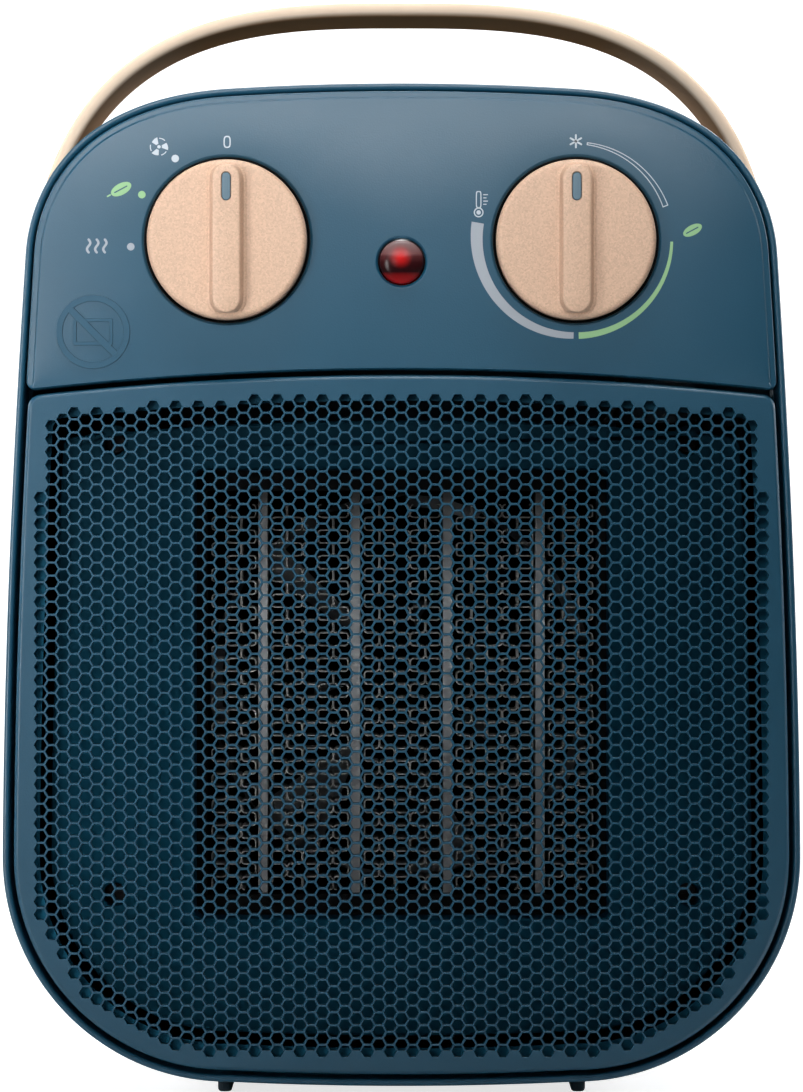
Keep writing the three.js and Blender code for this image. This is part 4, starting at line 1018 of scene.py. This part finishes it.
def screw(node, head, shank, seat, height, end, name, material):
    """A pan head of the given height on its seat, towards which way the shank doesn't go."""
    x, _, z = middle_of(node)
    way = math.copysign(1, seat - end)
    angles = np.linspace(0, np.pi / 2, 6)
    dome = [(head * 0.12 * (1 - math.cos(a)), seat + way * height * math.sin(a)) for a in angles]
    skin = Skin()
    shell = skin.around(circle(x, z, head, 40), [(head - shank, end), (head - shank, seat), (0, seat)] + dome)
    recess = cross(x, z, head * 0.55, head * 0.13)
    top = seat + way * height
    floor = skin.around(recess, [(0, top), (0, top - way * height * 0.7)])
    skin.cap(shell[-1], floor[0])
    skin.cap(floor[-1])
    skin.fan(shell[0])
    make_piece(name, skin, material, replaces=node)


for number in range(1, 5):
    screw(f"baffle_screw_{number}", 2.4, 1.25, 18.2, 1.7, 32, f"well_screw_{number}", BLACKED_STEEL)
    screw(f"case_screw_{number}", 3, 1.3, 123.65, 1.7, 104, f"rear_screw_{number}", STEEL)

# %% [markdown]
# ## Printed scales
# The scales are pad-printed: a film of ink a few hundredths of a millimetre high. A painted texture would
# need an image and blur close up, so each mark is a closed thin plate on the panel's face, drawn from
# its own outline: dots, a nought, a fan, a leaf, three heat waves, a snow star, a thermometer and
# tapering arcs.

# %% Ink plates
INK_FRONT, INK_BACK = -0.03, 0.02
SCALE_RADIUS = 22.6


def inked(skin, *outlines):
    """A thin plate bounded by outlines of (x, z) points; inner outlines are holes."""
    front, back = [], []
    for outline in outlines:
        loop = (np.asarray(outline, float), np.zeros((len(outline), 2)))
        index = skin.around(loop, [(0, INK_BACK), (0, INK_FRONT)])
        back.append(index[0])
        front.append(index[1])
    skin.cap(*front)
    skin.cap(*back)


def polar(centre, radius, clockwise_degrees):
    """A point at a radius from the centre, at an angle measured clockwise from straight up."""
    angle = np.radians(clockwise_degrees)
    return np.column_stack([centre[0] + radius * np.sin(angle), centre[1] + radius * np.cos(angle)])


def band(centre, first, last, inner, outer, steps=60):
    """An arc from one angle to another whose inner and outer radii each run between two values."""
    angle = np.linspace(first, last, steps)
    out = polar(centre, np.linspace(*outer, steps), angle)
    back = polar(centre, np.linspace(*inner, steps), angle)[::-1]
    return np.concatenate([out, back])


def stroke(points, width):
    """An open line given a width, with round ends: the line moved to both sides and half circles."""
    points = np.asarray(points, float)
    along = np.gradient(points, axis=0)
    along /= np.linalg.norm(along, axis=1)[:, None]
    side = np.column_stack([-along[:, 1], along[:, 0]]) * width / 2
    turn = np.linspace(0, np.pi, 7)[1:-1]

    def end(point, way, sign):
        base = math.atan2(way[1], way[0])
        angle = base + sign * turn
        return point + width / 2 * np.column_stack([np.cos(angle), np.sin(angle)])

    last = end(points[-1], side[-1], -1)
    first = end(points[0], -side[0], -1)
    return np.concatenate([points + side, last, (points - side)[::-1], first])


def ring_line(x, z, half_width, half_height, width, power=2.6, count=48):
    """Two superellipses a line's width apart."""
    angle = np.linspace(0, 2 * np.pi, count, endpoint=False)
    c, s = np.cos(angle), np.sin(angle)
    unit = np.column_stack([np.sign(c) * np.abs(c) ** (2 / power), np.sign(s) * np.abs(s) ** (2 / power)])
    return [unit * [half_width - d, half_height - d] + [x, z] for d in (0, width)]


def leaning(place, along, across=0.0):
    """Points on a line that leans 28 degrees, given by their distances along and across it."""
    turn = math.radians(28)
    spin = np.array([[math.cos(turn), math.sin(turn)], [-math.sin(turn), math.cos(turn)]])
    return np.column_stack([along, np.broadcast_to(across, np.shape(along))]) @ spin + place


def leaf_mark(skin, place, half_length, half_width, vein, vein_width, steps):
    """An ellipse with a slit along it."""
    t = np.linspace(0, np.pi, steps)
    t = np.concatenate([t, np.pi + t[1:-1]])
    slit = stroke(leaning(place, np.linspace(*vein, 8)), vein_width)
    inked(skin, leaning(place, -half_length * np.cos(t), half_width * np.sin(t)), slit)


def print_scale(name, white, grey, green):
    inks = (("white", white, WHITE_INK), ("grey", grey, GREY_INK), ("green", green, GREEN_INK))
    for color, skin, ink in inks:
        make_piece(f"{name}_scale_{color}", skin, ink)


# %% Function scale
white, grey, green = Skin(), Skin(), Skin()
knob_centre = (FUNCTION_X, KNOB_Z)
inked(white, *ring_line(FUNCTION_X, 223.75, 0.85, 1.42, 0.3, power=3))
for clockwise, skin in ((-32.5, white), (-62, green), (-94, grey)):
    inked(skin, circle(*polar(knob_centre, SCALE_RADIUS, np.array([clockwise]))[0], 0.88, 32)[0])
fan = (-56.75, 222.6)
for blade in (90, 210, 330):
    petal = band(fan, blade - 28, blade + 20, (0.7, 0.7), (1.95, 2.25), 12)
    inked(white, petal)
    inked(white, band(fan, blade + 32, blade + 74, (1.9, 1.9), (2.12, 2.12), 8))
inked(white, circle(*fan, 0.4, 20)[0])
leaf = (-65.6, 212.7)
leaf_mark(green, leaf, 2.6, 1.35, (-1.7, 1.5), 0.3, 24)
inked(green, stroke(leaning(leaf, np.linspace(-3.6, -2.9, 5)), 0.35))
for wave in range(3):
    z = np.linspace(-1.5, 1.5, 24)
    x = -73.2 + wave * 1.9 + 0.38 * np.sin(z * np.pi / 1.5)
    inked(grey, stroke(np.column_stack([x, 199.4 + z]), 0.55))
print_scale("function", white, grey, green)


# %% Temperature scale
white, grey, green = Skin(), Skin(), Skin()
centre = (THERMOSTAT_X, KNOB_Z)
star = polar(centre, 23.1, np.array([0.0]))[0]
for spoke in (0, 60, 120):
    ends = polar(star, np.array([-1.45, 1.45]), np.array([spoke, spoke]))
    inked(white, stroke(np.linspace(ends[0], ends[1], 6), 0.42))
low, high = (22.35, 21.7), (23.0, 23.1)
inner_low, inner_high = (22.53, 21.92), (22.82, 22.88)
inked(white, band(centre, 6.5, 69.5, low, high), band(centre, 7.1, 68.9, inner_low, inner_high)[::-1])
inked(green, band(centre, 91, 178.3, (22.1, 21.6), (22.75, 23.15)))
inked(grey, band(centre, 181.4, 280, (21.6, 21.85), (23.1, 24.75)))
bulb = (18.05, 207.25)
stem = [(bulb[0] - 0.62, bulb[1] + 0.85), (bulb[0] - 0.62, bulb[1] + 3.6)]
inked(white, *ring_line(*bulb, 1.15, 1.15, 0.28, power=2))
inked(white, circle(*bulb, 0.52, 24)[0])
inked(white, *ring_line(bulb[0], bulb[1] + 3.0, 0.66, 2.0, 0.24, power=5))
for tick in range(4):
    z = bulb[1] + 1.9 + tick * 0.75
    reach = 2.1 if tick % 2 else 1.75
    inked(white, stroke(np.linspace((bulb[0] + 1.15, z), (bulb[0] + reach, z), 4), 0.22))
leaf_mark(green, (68.1, 203.1), 2.4, 1.2, (-1.6, 1.4), 0.28, 20)
print_scale("temperature", white, grey, green)

# %% [markdown]
# A raised mark is moulded into the panel below the function scale: here a plain ring round a block with
# a bar across it. It is in the panel's own colour, so only its edges show. It could be bump in the
# panel's finish, but real sloped edges catch the low lights, so it is made as the ink plates are, higher.

# %% Raised mark
MARK = (-72.2, 179.3)


def raised(skin, *outlines, height=0.3, slope=0.06):
    """A low plateau with sloping sides: each outline is moved inwards by the slope on its way up."""
    loops = []
    for outline in outlines:
        points = np.asarray(outline, float)
        along = np.roll(points, -1, axis=0) - np.roll(points, 1, axis=0)
        ways = np.column_stack([along[:, 1], -along[:, 0]])
        loops.append((points, ways / np.linalg.norm(ways, axis=1)[:, None]))
    sides = [skin.around(loop, [(-slope, 0.05), (-slope, 0), (0, -height)]) for loop in loops]
    skin.cap(*[side[0] for side in sides])
    skin.cap(*[side[-1] for side in sides])


mark = Skin()
raised(mark, circle(*MARK, 8.6, 96)[0], circle(*MARK, 7.2, 96)[0][::-1])
block = [MARK[0] - 4.6, MARK[0] + 4.6, MARK[1] - 3.1, MARK[1] + 3.1]
inside = [block[0] + 0.7, block[1] - 0.7, block[2] + 0.7, block[3] - 0.7]
raised(mark, rounded_rectangle(*block, 0.3, 4)[0], rounded_rectangle(*inside, 0.2, 4)[0][::-1])
bar = np.linspace((MARK[0] - 5, MARK[1] + 5), (MARK[0] + 5, MARK[1] - 5), 6)
raised(mark, stroke(bar, 1.5)[::-1], height=0.38)
make_piece("raised_mark", mark, BLUE)

# %% [markdown]
# ## Inner parts
# What the casing hides keeps its CAD shape and gets its own finish: steel for the motor's iron and
# brackets, copper for its winding, cream thermoset for switches, black for the duct and fan. Finer
# shapes would never be seen, so only materials change, looked up by the name that each node came with.

# %% Finishes of the carried-over nodes
# The heating elements take the finish with painted shade by height.
SEEN_FINISHES = {"heating_element": ELEMENT_SKIN_WITH_SHADE, "fan_impeller": DEEP_BLACK, "heater_duct": DEEP_BLACK}
for part in frame["record"]["subparts"]:
    skins = [skin for start, skin in SEEN_FINISHES.items() if part["node"].startswith(start)]
    skins.append(bpy.data.materials.get(f"{part['material_slot']}_finish"))
    if skins[0]:
        materials = frame["nodes"][part["node"]].data.materials
        materials.clear()
        materials.append(skins[0])

# %% [markdown]
# ## Studio
# A pale sweep stands in for floor and backdrop. Its back is clear, so the heater can be looked at from
# behind too. Long low lights hang close above the front, so their light falls off down the panel; weaker
# ones fill from the left, the flanks and the rear, and a dim room does the rest.


# %% Floor and backdrop
def studio_paper(glow=0.75):
    """Matt pale paper that also glows a little, but only straight to the camera, so it is bright to
    look at and yet throws little light back on the heater. Nothing is drawn from its back."""
    material = finish("studio_paper", (0.62, 0.62, 0.62), 0.9, drift=0.01, depth=0)
    tree = material.node_tree
    seen = shader_node(tree, "LightPath").outputs["Is Camera Ray"]
    glowing = shader_node(tree, "VectorMath", {0: (glow, glow, glow), "Scale": seen}, operation="SCALE")
    principled = tree.nodes["Principled BSDF"]
    principled.inputs["Emission Strength"].default_value = 1
    tree.links.new(glowing.outputs[0], principled.inputs["Emission Color"])
    behind = shader_node(tree, "NewGeometry").outputs["Backfacing"]
    clear = shader_node(tree, "BsdfTransparent").outputs[0]
    either = shader_node(tree, "MixShader", {0: behind})
    for socket, source in ((1, principled.outputs[0]), (2, clear)):
        tree.links.new(source, either.inputs[socket])
    tree.links.new(either.outputs[0], tree.nodes["Material Output"].inputs["Surface"])
    return material

# A floor that turns up into a wall through a quarter circle of half a metre.
turn = np.linspace(0, np.pi / 2, 16)
profile = [(-9.0, 0.0), (0.9, 0.0)] + [(0.9 + 0.5 * math.sin(a), 0.5 - 0.5 * math.cos(a)) for a in turn[1:]]
profile += [(1.4, 3.0)]
points = [(x, y, z) for y, z in profile for x in (-9, 9)]
faces = [(2 * i, 2 * i + 1, 2 * i + 3, 2 * i + 2) for i in range(len(profile) - 1)]
mesh = bpy.data.meshes.new("sweep")
mesh.from_pydata(points, [], faces)
mesh.shade_smooth()
mesh.materials.append(studio_paper())
backdrop = bpy.data.objects.new("sweep", mesh)
bpy.context.collection.objects.link(backdrop)


# %% Lights
def soft_light(name, place, aim, size, watts, spread):
    data = bpy.data.lights.new(name, "AREA")
    data.spread = math.radians(spread)
    data.shape = "RECTANGLE"
    data.size, data.size_y = size
    data.energy = watts
    lamp = bpy.data.objects.new(name, data)
    lamp.location = place
    lamp.visible_camera = False
    lamp.rotation_euler = (Vector(aim) - Vector(place)).to_track_quat("-Z", "Y").to_euler()
    bpy.context.collection.objects.link(lamp)


soft_light("brow", (-0.06, -0.32, 0.31), (-0.04, -0.06, 0.25), (0.36, 0.08), 0.17, 80)
soft_light("crest", (0, -0.17, 0.75), (0, -0.06, 0.2), (0.5, 0.14), 0.5, 70)
soft_light("left", (-0.3, -0.4, 0.13), (-0.085, -0.06, 0.13), (0.1, 0.2), 0.10, 50)
soft_light("far_left", (-0.28, -0.95, 0.22), (-0.07, -0.06, 0.14), (0.2, 0.3), 0.015, 24)
soft_light("overhead", (0.1, 0.35, 0.9), (0, 0.02, 0.15), (0.6, 0.4), 1.2, 90)
soft_light("left_flank", (-1.0, 0.35, 0.5), (0, 0, 0.13), (0.6, 0.6), 1.5, 60)
soft_light("right_flank", (1.0, 0.35, 0.5), (0, 0, 0.13), (0.6, 0.6), 1.5, 60)
soft_light("rear", (0.2, 1.1, 0.6), (0, 0.06, 0.13), (0.6, 0.5), 1.0, 50)
soft_light("backdrop", (0, 0.5, 1.6), (0, 1.3, 0.4), (2.0, 0.6), 12, 100)
world = bpy.data.worlds.new("room")
world.use_nodes = True
background = world.node_tree.nodes["Background"]
background.inputs["Color"].default_value = (1, 1, 1, 1)
seen = shader_node(world.node_tree, "LightPath").outputs["Is Camera Ray"]
strength = shader_node(world.node_tree, "MapRange", {"Value": seen, "To Min": 0.06, "To Max": 0.8})
world.node_tree.links.new(strength.outputs[0], background.inputs["Strength"])
bpy.context.scene.world = world
bpy.context.scene.view_settings.view_transform = "Standard"
